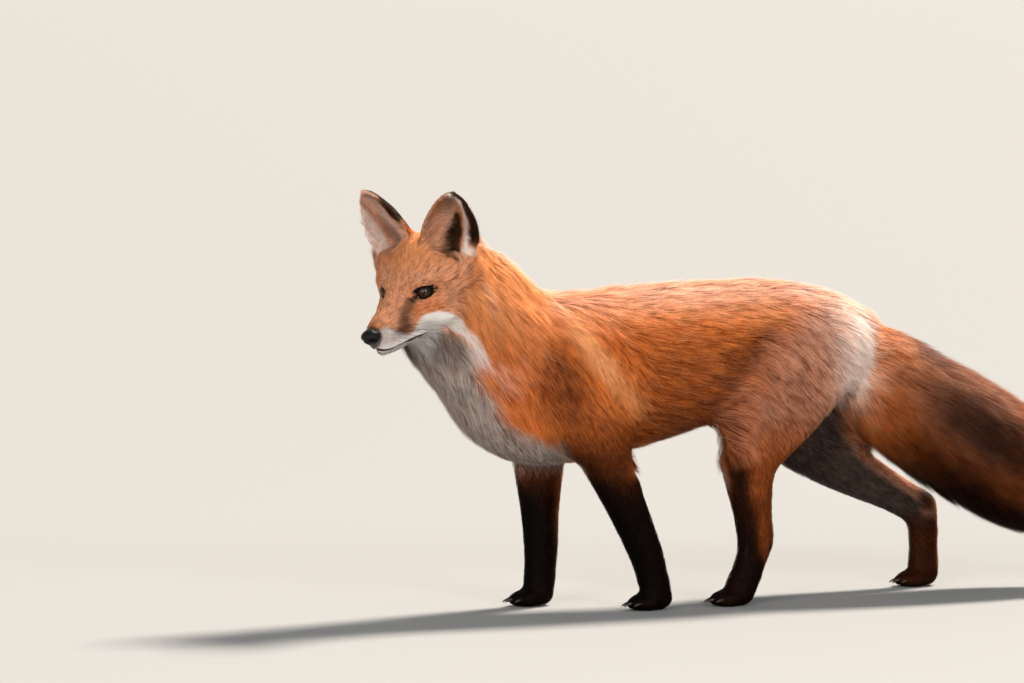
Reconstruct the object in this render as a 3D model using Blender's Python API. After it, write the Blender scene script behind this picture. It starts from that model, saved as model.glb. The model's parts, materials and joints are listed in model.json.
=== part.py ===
"""A red fox, life size, standing with its head turned a little to its left.

Units are metres. The fox faces -X, its left side is -Y and +Z is up. The floor is at Z = 0.
The body is modelled whole from tapered tubes and balls, melted together, and then parted with
thin cuts into the pieces that a person would name: head, jaw, ears, neck, trunk, legs and tail.
"""

import math
from collections import namedtuple

import bmesh
import bpy
from mathutils import Matrix, Vector

# ---------------------------------------------------------------- driving dimensions
CUT = 0.0004  # width of the thin cut between two neighbouring pieces
MELT_GRAIN = 0.0025  # grid size that melts the tubes into one body
FACE_SMOOTHING = 12  # passes that round the creases where the tubes meet
BODY_SMOOTHING = 150  # further passes on the trunk, the neck and the tops of the legs
BODY_FACES = (3300, 2700)  # triangles of the body, first evenly, then thinned on the trunk
TUBE_SIDES = 32
RINGS_PER_STATION = 5

LEFT, RIGHT = -1, 1  # the sign of Y on each side

HEAD_YAW = math.radians(30)  # the head's turn to the left, from straight ahead
HEAD_PITCH = math.radians(21)  # how far the nose drops
BETWEEN_EYES = Vector((-0.3585, -0.038, 0.3925))

EYE_RADIUS = 0.0098
EYE_PLACE = (-0.0085, 0.0262, -0.001)  # forward, outward and up from between the eyes
EYE_OUTWARD = math.radians(36)  # how far each eye looks away from straight ahead
EYE_OPENING = (0.0225, 0.0125)  # length and height between the lids
LID_TILT = -0.10

EAR_BASE = (-0.056, 0.037, 0.020)  # forward, outward and up from between the eyes
EAR_TIP = (-0.052, 0.066, 0.111)
EAR_WALL = 0.0042
EAR_TURN = {LEFT: math.radians(32), RIGHT: math.radians(8)}  # opening's turn outward

Station = namedtuple("Station", "along top level bottom half_width upper lower")
Joint = namedtuple("Joint", "place across depth")


# ---------------------------------------------------------------- general helpers
def clear_scene():
    for obj in list(bpy.data.objects):
        bpy.data.objects.remove(obj)


def link(name, mesh):
    obj = bpy.data.objects.new(name, mesh)
    bpy.context.scene.collection.objects.link(obj)
    return obj


def applied(obj):
    """The object with its modifiers made permanent."""
    graph = bpy.context.evaluated_depsgraph_get()
    mesh = bpy.data.meshes.new_from_object(obj.evaluated_get(graph))
    obj.modifiers.clear()
    obj.data = mesh
    return obj


def smooth_step(values, t):
    """A smooth curve through the rows of values, read at t from 0 to the last row."""
    last = len(values) - 1
    i = min(int(t), last - 1)
    u = t - i
    rows = [values[max(i - 1, 0)], values[i], values[i + 1], values[min(i + 2, last)]]
    found = []
    for a, b, c, d in zip(*rows):
        slope_b, slope_c = (c - a) / 2, (d - b) / 2
        found.append(
            (2 * u**3 - 3 * u**2 + 1) * b
            + (u**3 - 2 * u**2 + u) * slope_b
            + (3 * u**2 - 2 * u**3) * c
            + (u**3 - u**2) * slope_c
        )
    return found


def skin_over(name, rings):
    """A closed tube over rings of points, each ring a list of the same length."""
    bm = bmesh.new()
    loops = [[bm.verts.new(p) for p in ring] for ring in rings]
    count = len(rings[0])
    for near, far in zip(loops, loops[1:]):
        for k in range(count):
            bm.faces.new((near[k], near[(k + 1) % count], far[(k + 1) % count], far[k]))
    for loop in (loops[0], loops[-1]):
        centre = bm.verts.new(sum((v.co for v in loop), Vector()) / count)
        for k in range(count):
            bm.faces.new((loop[k], loop[(k + 1) % count], centre))
    bmesh.ops.recalc_face_normals(bm, faces=bm.faces)
    mesh = bpy.data.meshes.new(name)
    bm.to_mesh(mesh)
    bm.free()
    return link(name, mesh)


def rounded(angle, power):
    """A point of a unit superellipse: power 2 is round, more is squarer."""
    c, s = math.cos(angle), math.sin(angle)
    return (
        math.copysign(abs(c) ** (2 / power), c),
        math.copysign(abs(s) ** (2 / power), s),
    )


def lofted(name, stations, frame):
    """A body through named cross-sections that stand square to the frame's first axis."""
    rings = []
    for step in range((len(stations) - 1) * RINGS_PER_STATION + 1):
        s = Station(*smooth_step(stations, step / RINGS_PER_STATION))
        ring = []
        for k in range(TUBE_SIDES):
            angle = 2 * math.pi * k / TUBE_SIDES
            above = math.sin(angle) >= 0
            x, z = rounded(angle, s.upper if above else s.lower)
            height = s.level + z * (s.top - s.level if above else s.level - s.bottom)
            ring.append(frame @ Vector((s.along, x * s.half_width, height)))
        rings.append(ring)
    return skin_over(name, rings)


def limb(name, joints, swell=0.0):
    """A tapered tube through joints, with round ends. Across is its half width from side to
    side, depth its half width from front to back."""
    rows = [(*j.place, j.across, j.depth) for j in joints]
    steps = (len(rows) - 1) * RINGS_PER_STATION
    samples = [smooth_step(rows, i / RINGS_PER_STATION) for i in range(steps + 1)]
    rings = []
    for i, row in enumerate(samples):
        ahead = Vector(samples[min(i + 1, steps)][:3])
        behind = Vector(samples[max(i - 1, 0)][:3])
        along = (ahead - behind).normalized()
        front = along.cross(Vector((0, 1, 0))).normalized()
        side = front.cross(along)
        centre, across, depth = Vector(row[:3]), row[3] + swell, row[4] + swell
        ends = {0: (-1,), steps: (1,)}.get(i, (0,))
        for end in ends:
            shrink = [1.0] if end == 0 else [1.0, 0.86, 0.5, 0.12]
            reach = [0.0] if end == 0 else [0.0, 0.45, 0.8, 0.95]
            pairs = list(zip(shrink, reach))
            for scale, out in pairs if end >= 0 else reversed(pairs):
                middle = centre + along * (out * end * min(across, depth))
                rings.append(
                    [
                        middle
                        + side * (math.cos(a) * across * scale)
                        + front * (math.sin(a) * depth * scale)
                        for a in (2 * math.pi * k / TUBE_SIDES for k in range(TUBE_SIDES))
                    ]
                )
    return skin_over(name, rings)


def ball(name, centre, radii, turn=None):
    """An egg-shaped lump with three half sizes, turned by a rotation matrix."""
    bm = bmesh.new()
    bmesh.ops.create_uvsphere(bm, u_segments=14, v_segments=8, radius=1)
    sizes = Matrix.Diagonal((*radii, 1))
    bm.transform(Matrix.Translation(centre) @ (turn or Matrix()) @ sizes)
    mesh = bpy.data.meshes.new(name)
    bm.to_mesh(mesh)
    bm.free()
    return link(name, mesh)


def block(frame, low, high, gap=0.0):
    """A box between two corners of a frame, larger by the gap all round."""
    bm = bmesh.new()
    bmesh.ops.create_cube(bm, size=1)
    size = Vector(high) - Vector(low) + Vector([2 * gap] * 3)
    middle = (Vector(high) + Vector(low)) / 2
    bm.transform(frame @ Matrix.Translation(middle) @ Matrix.Diagonal((*size, 1)))
    mesh = bpy.data.meshes.new("block")
    bm.to_mesh(mesh)
    bm.free()
    return link("block", mesh)


def joined(name, objects):
    """Several closed shapes as one mesh, still overlapping."""
    bm = bmesh.new()
    for obj in objects:
        bm.from_mesh(obj.data)
        bpy.data.objects.remove(obj)
    mesh = bpy.data.meshes.new(name)
    bm.to_mesh(mesh)
    bm.free()
    return link(name, mesh)


def looseness(place):
    """How much a place of the body is smoothed again: 0 on the head and feet, 1 on the trunk."""
    ahead = (HEAD.inverted() @ place).x
    past_head = min(1.0, max(0.0, (-0.075 - ahead) / 0.05))
    above_feet = min(1.0, max(0.0, (place.z - 0.09) / 0.08))
    return past_head * above_feet


def melted(obj):
    """Overlapping shapes made one surface, with the creases rounded."""
    grain = obj.modifiers.new("melt", "REMESH")
    grain.mode = "VOXEL"
    grain.voxel_size = MELT_GRAIN
    applied(obj)
    loose = obj.vertex_groups.new(name="loose")
    for v in obj.data.vertices:
        loose.add([v.index], looseness(v.co), "REPLACE")
    for passes, group in ((FACE_SMOOTHING, ""), (BODY_SMOOTHING, "loose")):
        soft = obj.modifiers.new("soften", "SMOOTH")
        soft.factor = 0.6
        soft.iterations = passes
        soft.vertex_group = group
    applied(obj)
    for count, group in zip(BODY_FACES, ("", "loose")):
        thin = obj.modifiers.new("thin", "DECIMATE")
        thin.ratio = count / sum(len(f.vertices) - 2 for f in obj.data.polygons)
        thin.use_collapse_triangulate = True
        thin.vertex_group = group
        applied(obj)
    obj.vertex_groups.clear()
    return obj


def boolean(obj, cutter, operation):
    step = obj.modifiers.new("cut", "BOOLEAN")
    step.operation = operation
    step.object = cutter
    applied(obj)
    bpy.data.objects.remove(cutter)
    return obj


def keep_largest(obj):
    """Drops the slivers that a cut leaves beside the piece."""
    bm = bmesh.new()
    bm.from_mesh(obj.data)
    unseen, bodies = set(bm.verts), []
    while unseen:
        front, found = [unseen.pop()], []
        while front:
            v = front.pop()
            found.append(v)
            near = {e.other_vert(v) for e in v.link_edges} & unseen
            unseen -= near
            front.extend(near)
        bodies.append(found)
    bodies.sort(key=len)
    bmesh.ops.delete(bm, geom=[v for body in bodies[:-1] for v in body], context="VERTS")
    bm.to_mesh(obj.data)
    bm.free()
    return obj


def parted(whole, name, cutter):
    """Takes the piece inside cutter(0) off the whole, which loses cutter(CUT)."""
    piece = link(name, whole.data.copy())
    boolean(piece, cutter(0.0), "INTERSECT")
    boolean(whole, cutter(CUT), "DIFFERENCE")
    keep_largest(whole)
    return keep_largest(piece)


# ---------------------------------------------------------------- head
def head_frame():
    """Its first axis points out of the nose, its second to the fox's left, its third up."""
    forward = Vector(
        (
            -math.cos(HEAD_YAW) * math.cos(HEAD_PITCH),
            -math.sin(HEAD_YAW) * math.cos(HEAD_PITCH),
            -math.sin(HEAD_PITCH),
        )
    )
    left = Vector((math.sin(HEAD_YAW), -math.cos(HEAD_YAW), 0))
    frame = Matrix((forward, left, forward.cross(left))).transposed().to_4x4()
    return Matrix.Translation(BETWEEN_EYES) @ frame


HEAD = head_frame()


def skull():
    """Cranium and upper muzzle, from the nape to the nose."""
    return lofted(
        "skull",
        [
            Station(-0.098, 0.026, 0.000, -0.036, 0.034, 2.0, 2.0),
            Station(-0.082, 0.036, -0.006, -0.052, 0.046, 2.1, 2.0),
            Station(-0.062, 0.040, -0.012, -0.060, 0.053, 2.1, 2.0),
            Station(-0.042, 0.037, -0.016, -0.060, 0.054, 2.0, 2.0),
            Station(-0.022, 0.032, -0.018, -0.057, 0.048, 1.9, 2.0),
            Station(-0.006, 0.024, -0.018, -0.053, 0.039, 1.9, 2.0),
            Station(0.008, 0.015, -0.022, -0.050, 0.030, 1.9, 2.1),
            Station(0.022, 0.007, -0.027, -0.048, 0.0235, 2.0, 2.2),
            Station(0.040, -0.001, -0.029, -0.046, 0.0195, 2.1, 2.3),
            Station(0.058, -0.007, -0.029, -0.044, 0.0170, 2.2, 2.3),
            Station(0.072, -0.012, -0.028, -0.041, 0.0135, 2.2, 2.3),
            Station(0.080, -0.017, -0.027, -0.036, 0.0085, 2.0, 2.0),
        ],
        HEAD,
    )


def lower_jaw():
    return lofted(
        "lower_jaw",
        [
            Station(-0.040, -0.030, -0.045, -0.060, 0.026, 2, 2),
            Station(-0.015, -0.034, -0.046, -0.061, 0.026, 2, 2),
            Station(0.010, -0.036, -0.047, -0.058, 0.021, 2, 2),
            Station(0.035, -0.037, -0.047, -0.056, 0.0155, 2, 2),
            Station(0.055, -0.037, -0.046, -0.055, 0.0125, 2, 2.2),
            Station(0.066, -0.038, -0.045, -0.052, 0.0095, 2, 2.2),
            Station(0.072, -0.040, -0.044, -0.048, 0.0050, 2, 2),
        ],
        HEAD,
    )


def in_head(forward, outward, up, side=LEFT):
    """A point of the head, given to the fox's left or right."""
    return HEAD @ Vector((forward, outward * -side, up))


def head_lumps():
    """Brows, cheek bones and the fur ruffs of the cheeks."""
    turn = HEAD.to_3x3().to_4x4()
    lumps = [ball("nose_pad", in_head(0.0755, 0, -0.0245), (0.0095, 0.0128, 0.0098), turn)]
    for side in (LEFT, RIGHT):
        brow = in_head(-0.006, 0.0225, 0.010, side)
        cheek = in_head(-0.014, 0.032, -0.026, side)
        lumps.append(ball("brow", brow, (0.016, 0.011, 0.008), turn))
        lumps.append(ball("cheek", cheek, (0.028, 0.014, 0.018), turn))
        lumps.append(ball("lid", in_head(*EYE_PLACE, side), [EYE_RADIUS + 0.0024] * 3))
        ruff = [
            Joint(in_head(-0.010, 0.026, -0.030, side), 0.016, 0.020),
            Joint(in_head(-0.034, 0.044, -0.038, side), 0.022, 0.028),
            Joint(in_head(-0.052, 0.056, -0.050, side), 0.019, 0.024),
            Joint(in_head(-0.062, 0.064, -0.060, side), 0.008, 0.011),
        ]
        lumps.append(limb("ruff", ruff))
    return lumps


def eye_frame(side):
    """Its first axis is where the eye looks, its second to the eye's outer corner."""
    outward = EYE_OUTWARD * -side
    look = Vector((math.cos(outward), math.sin(outward), 0.10)).normalized()
    level = Vector((0, 0, 1)).cross(look).normalized()
    frame = Matrix((look, level, look.cross(level))).transposed().to_4x4()
    place = Matrix.Translation(Vector((EYE_PLACE[0], EYE_PLACE[1] * -side, EYE_PLACE[2])))
    return HEAD @ place @ frame


def lid_opening(side):
    """An almond prism that opens the lids in front of the eyeball."""
    frame = eye_frame(side)
    half_length, half_height = EYE_OPENING[0] / 2, EYE_OPENING[1] / 2
    points = 16
    rings = []
    for depth in (0.001, 0.030):
        ring = []
        for k in range(points):
            angle = 2 * math.pi * k / points
            y = math.cos(angle) * half_length
            z = math.sin(angle) * half_height * (1 - 0.35 * math.cos(angle) ** 2)
            tilt = LID_TILT * y * -side  # the outer corner sits a little higher
            ring.append(frame @ Vector((depth, y, z + tilt)))
        rings.append(ring)
    return skin_over("lid_opening", rings)


def eyeball(side, name, gap=0.0):
    bm = bmesh.new()
    bmesh.ops.create_uvsphere(bm, u_segments=14, v_segments=8, radius=EYE_RADIUS + gap)
    bm.transform(eye_frame(side) @ Matrix.Rotation(math.pi / 2, 4, "Y"))
    mesh = bpy.data.meshes.new(name)
    bm.to_mesh(mesh)
    bm.free()
    return link(name, mesh)


# ---------------------------------------------------------------- ears
EarRing = namedtuple("EarRing", "up half_width back front")
EAR_SHAPE = [
    EarRing(-0.12, 0.022, 0.018, 0.016),
    EarRing(0.00, 0.031, 0.021, 0.016),
    EarRing(0.18, 0.0365, 0.022, 0.010),
    EarRing(0.38, 0.0365, 0.020, 0.006),
    EarRing(0.58, 0.0320, 0.017, 0.005),
    EarRing(0.76, 0.0240, 0.013, 0.004),
    EarRing(0.90, 0.0155, 0.009, 0.003),
    EarRing(0.99, 0.0065, 0.005, 0.002),
]


def ear_frame(side):
    """Origin at the ear's base, third axis to its tip, first axis out of its opening."""
    base, tip = Vector(in_head(*EAR_BASE, side)), Vector(in_head(*EAR_TIP, side))
    up = (tip - base).normalized()
    turn = EAR_TURN[side] * -side
    opening = HEAD.to_3x3() @ Vector((math.cos(turn), math.sin(turn), 0))
    across = up.cross(opening).normalized()
    frame = Matrix((across.cross(up), across, up)).transposed().to_4x4()
    return Matrix.Translation(base) @ frame, (tip - base).length


def ear_ring(up):
    """The ear's section at a share of its height."""
    for near, far in zip(EAR_SHAPE, EAR_SHAPE[1:]):
        if up <= far.up:
            share = (up - near.up) / (far.up - near.up)
            return EarRing(*(a + (b - a) * share for a, b in zip(near, far)))
    return EAR_SHAPE[-1]


def ear_shell(side):
    frame, height = ear_frame(side)
    rings = []
    for step in range((len(EAR_SHAPE) - 1) * 3 + 1):
        r = EarRing(*smooth_step(EAR_SHAPE, step / 3))
        ring = []
        for k in range(TUBE_SIDES):
            angle = 2 * math.pi * k / TUBE_SIDES
            y, x = rounded(angle, 2.0)
            ring.append(frame @ Vector((x * (r.front if x > 0 else r.back), y * r.half_width, r.up * height)))
        rings.append(ring)
    return skin_over("ear_shell", rings)


def ear_hollow(side):
    """The bowl of the ear, open to the front, that leaves a wall of even thickness."""
    frame, height = ear_frame(side)
    rings = []
    count = 8
    for step in range(count + 1):
        up = 0.03 + 0.89 * step / count
        r = ear_ring(up)
        opening = min(1.0, up / 0.30)
        opening = opening * opening * (3 - 2 * opening)
        half = (r.half_width - EAR_WALL * 0.8) * (0.35 + 0.65 * opening)
        deep, reach = r.back - EAR_WALL, 0.002 + opening * 0.03
        ring = []
        for k in range(14):
            y, x = rounded(2 * math.pi * k / 14, 2.0)
            ring.append(frame @ Vector((x * (reach if x > 0 else deep), y * half, up * height)))
        rings.append(ring)
    return skin_over("ear_hollow", rings)


# ---------------------------------------------------------------- neck, trunk and tail
WORLD = Matrix()


def trunk_tube():
    """From the breast to the rump; along is X."""
    return lofted(
        "trunk_tube",
        [
            Station(-0.292, 0.318, 0.290, 0.262, 0.018, 2.0, 2.0),
            Station(-0.266, 0.342, 0.286, 0.230, 0.043, 2.0, 2.0),
            Station(-0.228, 0.366, 0.285, 0.196, 0.058, 2.0, 2.0),
            Station(-0.185, 0.380, 0.286, 0.178, 0.065, 2.0, 2.1),
            Station(-0.130, 0.389, 0.290, 0.176, 0.069, 1.9, 2.2),
            Station(-0.060, 0.393, 0.298, 0.186, 0.073, 1.9, 2.2),
            Station(0.000, 0.397, 0.303, 0.200, 0.074, 2.0, 2.2),
            Station(0.060, 0.399, 0.310, 0.217, 0.070, 2.0, 2.1),
            Station(0.115, 0.400, 0.316, 0.230, 0.066, 2.0, 2.1),
            Station(0.170, 0.397, 0.318, 0.236, 0.066, 2.0, 2.0),
            Station(0.225, 0.387, 0.318, 0.244, 0.062, 2.0, 2.0),
            Station(0.265, 0.371, 0.316, 0.258, 0.050, 2.0, 2.0),
            Station(0.290, 0.350, 0.312, 0.274, 0.030, 2.0, 2.0),
        ],
        WORLD,
    )


def neck_tube():
    return limb(
        "neck_tube",
        [
            Joint((-0.130, 0.000, 0.288), 0.062, 0.088),
            Joint((-0.210, 0.000, 0.314), 0.065, 0.089),
            Joint((-0.250, -0.003, 0.352), 0.064, 0.090),
            Joint((-0.288, -0.010, 0.388), 0.060, 0.084),
            Joint((-0.312, -0.018, 0.412), 0.054, 0.064),
        ],
    )


TAIL = [
    Joint((0.262, 0.000, 0.332), 0.036, 0.042),
    Joint((0.296, -0.002, 0.284), 0.056, 0.064),
    Joint((0.345, -0.007, 0.240), 0.070, 0.074),
    Joint((0.400, -0.014, 0.205), 0.076, 0.078),
    Joint((0.455, -0.020, 0.172), 0.077, 0.078),
    Joint((0.510, -0.026, 0.142), 0.073, 0.073),
    Joint((0.560, -0.030, 0.121), 0.060, 0.059),
    Joint((0.604, -0.033, 0.110), 0.038, 0.037),
    Joint((0.636, -0.035, 0.107), 0.013, 0.013),
]


# ---------------------------------------------------------------- legs
ForePose = namedtuple("ForePose", "blade shoulder elbow wrist ball")
HindPose = namedtuple("HindPose", "hip knee hock ball sit")

FORE = {
    LEFT: ForePose(
        (-0.098, -0.036, 0.350),
        (-0.170, -0.050, 0.262),
        (-0.100, -0.056, 0.200),
        (-0.041, -0.054, 0.066),
        (-0.026, -0.054, 0.018),
    ),
    RIGHT: ForePose(
        (-0.098, 0.036, 0.350),
        (-0.175, 0.052, 0.262),
        (-0.135, 0.056, 0.198),
        (-0.134, 0.050, 0.066),
        (-0.137, 0.050, 0.018),
    ),
}
HIND = {
    LEFT: HindPose(
        (0.190, -0.040, 0.305),
        (0.088, -0.056, 0.222),
        (0.109, -0.054, 0.074),
        (0.086, -0.054, 0.018),
        (0.250, -0.030, 0.310),
    ),
    RIGHT: HindPose(
        (0.205, 0.040, 0.300),
        (0.225, 0.056, 0.190),
        (0.403, 0.057, 0.098),
        (0.405, 0.057, 0.018),
        (0.250, 0.030, 0.305),
    ),
}


def along(a, b, share):
    return tuple(Vector(a).lerp(Vector(b), share))


def foreleg_tubes(side, swell=0.0):
    """Shoulder blade, upper arm, forearm and wrist."""
    p = FORE[side]
    return [
        limb(
            "shoulder",
            [
                Joint(p.blade, 0.020, 0.030),
                Joint(along(p.blade, p.shoulder, 0.55), 0.025, 0.040),
                Joint(p.shoulder, 0.023, 0.038),
            ],
            swell,
        ),
        limb(
            "upper_arm",
            [
                Joint(p.shoulder, 0.023, 0.040),
                Joint(along(p.shoulder, p.elbow, 0.6), 0.024, 0.043),
                Joint(p.elbow, 0.022, 0.034),
            ],
            swell,
        ),
        limb(
            "forearm",
            [
                Joint(along(p.elbow, p.wrist, -0.08), 0.026, 0.041),
                Joint(along(p.elbow, p.wrist, 0.25), 0.024, 0.034),
                Joint(along(p.elbow, p.wrist, 0.65), 0.0205, 0.0255),
                Joint(p.wrist, 0.0190, 0.0222),
                Joint(along(p.wrist, p.ball, 0.8), 0.0180, 0.0195),
            ],
            swell,
        ),
    ]


def hindleg_tubes(side, swell=0.0):
    """Haunch, thigh, hamstring, shank and hind foot."""
    p = HIND[side]
    calf = along(p.knee, p.hock, 0.40)
    return [
        ball("croup", along(p.hip, p.sit, 0.5), (0.062, 0.030, 0.056)),
        limb(
            "haunch",
            [
                Joint(p.hip, 0.030, 0.062),
                Joint(along(p.hip, p.knee, 0.5), 0.028, 0.060),
                Joint(p.knee, 0.024, 0.041),
            ],
            swell,
        ),
        limb(
            "hamstring",
            [
                Joint(p.sit, 0.026, 0.034),
                Joint(along(p.sit, calf, 0.5), 0.026, 0.036),
                Joint(calf, 0.020, 0.024),
            ],
            swell,
        ),
        limb(
            "shank",
            [
                Joint(along(p.knee, p.hock, -0.05), 0.027, 0.042),
                Joint(along(p.knee, p.hock, 0.35), 0.024, 0.037),
                Joint(along(p.knee, p.hock, 0.75), 0.0195, 0.0265),
                Joint(p.hock, 0.0180, 0.0250),
            ],
            swell,
        ),
        limb(
            "instep",
            [
                Joint(along(p.hock, p.ball, -0.12), 0.0165, 0.0225),
                Joint(along(p.hock, p.ball, 0.5), 0.0165, 0.0205),
                Joint(along(p.hock, p.ball, 0.9), 0.0175, 0.0200),
            ],
            swell,
        ),
    ]


Toe = namedtuple("Toe", "ahead outward turn length")
TOES = [
    Toe(0.019, -0.0145, -0.22, 0.0135),
    Toe(0.027, -0.0052, -0.06, 0.0150),
    Toe(0.027, 0.0052, 0.06, 0.0150),
    Toe(0.019, 0.0145, 0.22, 0.0135),
]


def paw_tubes(ball_place):
    """The palm and four toes of a paw, which points to -X."""
    x, y, _ = ball_place
    lumps = [ball("palm", (x - 0.001, y, 0.0145), (0.0215, 0.0185, 0.0165))]
    for toe in TOES:
        turn = Matrix.Rotation(toe.turn, 4, "Z")
        place = (x - toe.ahead, y + toe.outward, 0.0085)
        lumps.append(ball("toe", place, (toe.length, 0.0074, 0.0105), turn))
    return lumps


def claw(ball_place, toe, name):
    """A small blunt hook that leaves the toe just above its pad."""
    x, y, _ = ball_place
    heading = Vector((-math.cos(toe.turn), -math.sin(toe.turn), 0))
    start = Vector((x - toe.ahead, y + toe.outward, 0.0092)) + heading * (toe.length - 0.006)
    joints = []
    for share, droop, size in ((0, 0, 0.0020), (0.6, 0.0006, 0.0017), (1.0, 0.0034, 0.0006)):
        place = start + heading * (0.0115 * share) - Vector((0, 0, droop))
        joints.append(Joint(tuple(place), size * 0.8, size * 1.1))
    rows = [(*j.place, j.across, j.depth) for j in joints]
    rings = []
    side = heading.cross(Vector((0, 0, 1)))
    for i in range(4):
        row = smooth_step(rows, i * 2 / 3)
        ring = [
            Vector(row[:3]) + side * (math.cos(a) * row[3]) + Vector((0, 0, math.sin(a) * row[4]))
            for a in (2 * math.pi * k / 5 for k in range(5))
        ]
        rings.append(ring)
    return skin_over(name, rings)


# ---------------------------------------------------------------- the whole body
def whole_body():
    pieces = [trunk_tube(), neck_tube(), skull(), lower_jaw(), *head_lumps()]
    pieces += [ear_shell(LEFT), ear_shell(RIGHT)]
    pieces.append(limb("tail_tube", TAIL))
    for side in (LEFT, RIGHT):
        pieces += foreleg_tubes(side) + paw_tubes(FORE[side].ball)
        pieces += hindleg_tubes(side) + paw_tubes(HIND[side].ball)
    body = melted(joined("trunk", pieces))
    floor = block(WORLD, (-1, -1, -0.1), (1, 1, 0.0))
    boolean(body, floor, "DIFFERENCE")
    for side in (LEFT, RIGHT):
        boolean(body, ear_hollow(side), "DIFFERENCE")
        boolean(body, lid_opening(side), "DIFFERENCE")
        boolean(body, eyeball(side, "socket", CUT), "DIFFERENCE")
    return body


Cut = namedtuple("Cut", "name source cutter")


def tilted(place, forward, sideways=(0, 1, 0)):
    """A frame at a place whose first axis points forward."""
    first = Vector(forward).normalized()
    third = first.cross(Vector(sideways)).normalized()
    frame = Matrix((first, third.cross(first), third)).transposed().to_4x4()
    return Matrix.Translation(Vector(place)) @ frame


def box_cut(name, frame, low, high, source="trunk"):
    return Cut(name, source, lambda gap: block(frame, low, high, gap))


def egg_cut(name, centre, radii, turn=None):
    return Cut(name, "trunk", lambda gap: ball(name, centre, [r + gap for r in radii], turn))


def head_cuts():
    """The head off the neck, then the nose, the jaw and the ears off the head."""
    nape = HEAD @ tilted((-0.040, 0, -0.014), (0.755, 0, 0.656))
    mouth = HEAD @ tilted((0.030, 0, -0.0405), (1, 0, 0.10))
    cuts = [
        box_cut("head", nape, (0, -0.15, -0.12), (0.2, 0.15, 0.16)),
        box_cut("nose", HEAD, (0.0700, -0.03, -0.0345), (0.12, 0.03, 0.02), "head"),
        box_cut("lower_jaw", mouth, (-0.042, -0.05, -0.05), (0.08, 0.05, 0.0), "head"),
    ]
    for side, word in ((LEFT, "left"), (RIGHT, "right")):
        frame, _ = ear_frame(side)
        low, high = (-0.06, -0.044, 0.021), (0.06, 0.044, 0.14)
        cuts.append(box_cut(word + "_ear", frame, low, high, "head"))
    return cuts


def leg_cuts(side, word):
    """Paws, lower legs and the rounded masses of the shoulder and haunch."""
    fore, hind = FORE[side], HIND[side]
    shank = Vector(hind.hock) - Vector(hind.knee)
    below_knee = tilted(along(hind.knee, hind.hock, 0.20), shank)
    inner, outer = sorted((side * 0.012, side * 0.14))
    cuts = []
    for end, x in (("fore", fore.ball[0]), ("hind", hind.ball[0])):
        low, high = (x - 0.07, inner, -0.01), (x + 0.05, outer, 0.036)
        cuts.append(box_cut(f"{word}_{end}_paw", WORLD, low, high))
    low, high = (fore.elbow[0] - 0.06, inner, 0.0), (fore.wrist[0] + 0.05, outer, 0.170)
    cuts.append(box_cut(word + "_forearm", WORLD, low, high))
    low, high = (0, inner, -0.09), (0.24, outer, 0.09)
    below_knee.translation.y = 0
    cuts.append(box_cut(word + "_shank", below_knee, low, high))
    arm = Vector(along(fore.blade, fore.elbow, 0.62)) + Vector((-0.012, side * 0.030, 0))
    cuts.append(egg_cut(word + "_upper_arm", arm, (0.070, 0.048, 0.098)))
    thigh = Vector(along(hind.hip, hind.knee, 0.42)) + Vector((0.010, side * 0.034, -0.012))
    lean = Vector(hind.knee) - Vector(hind.hip)
    turn = Matrix.Rotation(math.atan2(-lean.x, -lean.z) * 0.6, 4, "Y")
    cuts.append(egg_cut(word + "_thigh", thigh, (0.072, 0.056, 0.108), turn))
    return cuts


def tail_cuts():
    """The tail off the rump inside a slightly larger tail, then across twice."""
    wide = ((0, -0.2, -0.14), (0.5, 0.2, 0.14))
    tail_bend = tilted((0.430, 0, 0.188), (0.86, 0, -0.51))
    tail_end = tilted((0.548, 0, 0.126), (0.92, 0, -0.39))
    return [
        Cut("tail_root", "trunk", lambda gap: limb("tail_cutter", TAIL[1:], 0.005 + gap)),
        box_cut("tail_brush", tail_bend, *wide, "tail_root"),
        box_cut("tail_tip", tail_end, *wide, "tail_brush"),
    ]


def trunk_cuts():
    throat = tilted((-0.222, 0, 0.300), (-0.72, 0, 0.69))
    return [
        box_cut("neck", throat, (0, -0.2, -0.2), (0.3, 0.2, 0.2)),
        box_cut("chest", WORLD, (-0.4, -0.2, 0), (-0.070, 0.2, 0.6)),
        box_cut("rump", WORLD, (0.150, -0.2, 0), (0.5, 0.2, 0.6)),
    ]


def with_claws(paw, ball_place):
    """Joins four claws to the toes they grow from."""
    for k, toe in enumerate(TOES):
        boolean(paw, claw(ball_place, toe, f"claw_{k}"), "UNION")
    return keep_largest(paw)


MATERIALS = {
    "fox_red": (0.52, 0.20, 0.06),
    "pale_fur": (0.75, 0.68, 0.58),
    "black_fur": (0.03, 0.025, 0.02),
    "nose_leather": (0.02, 0.02, 0.02),
    "amber_eye": (0.18, 0.09, 0.03),
}


def material_of(name):
    if "eye" in name:
        return "amber_eye"
    if name == "nose":
        return "nose_leather"
    if "paw" in name or "forearm" in name:
        return "black_fur"
    return "pale_fur" if name in ("lower_jaw", "tail_tip") else "fox_red"


def coloured(obj):
    word = material_of(obj.name)
    material = bpy.data.materials.get(word) or bpy.data.materials.new(word)
    material.use_nodes = True
    shader = material.node_tree.nodes["Principled BSDF"]
    shader.inputs["Base Color"].default_value = (*MATERIALS[word], 1)
    shader.inputs["Roughness"].default_value = 0.2 if "eye" in word else 0.8
    obj.data.materials.clear()
    obj.data.materials.append(material)


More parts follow.
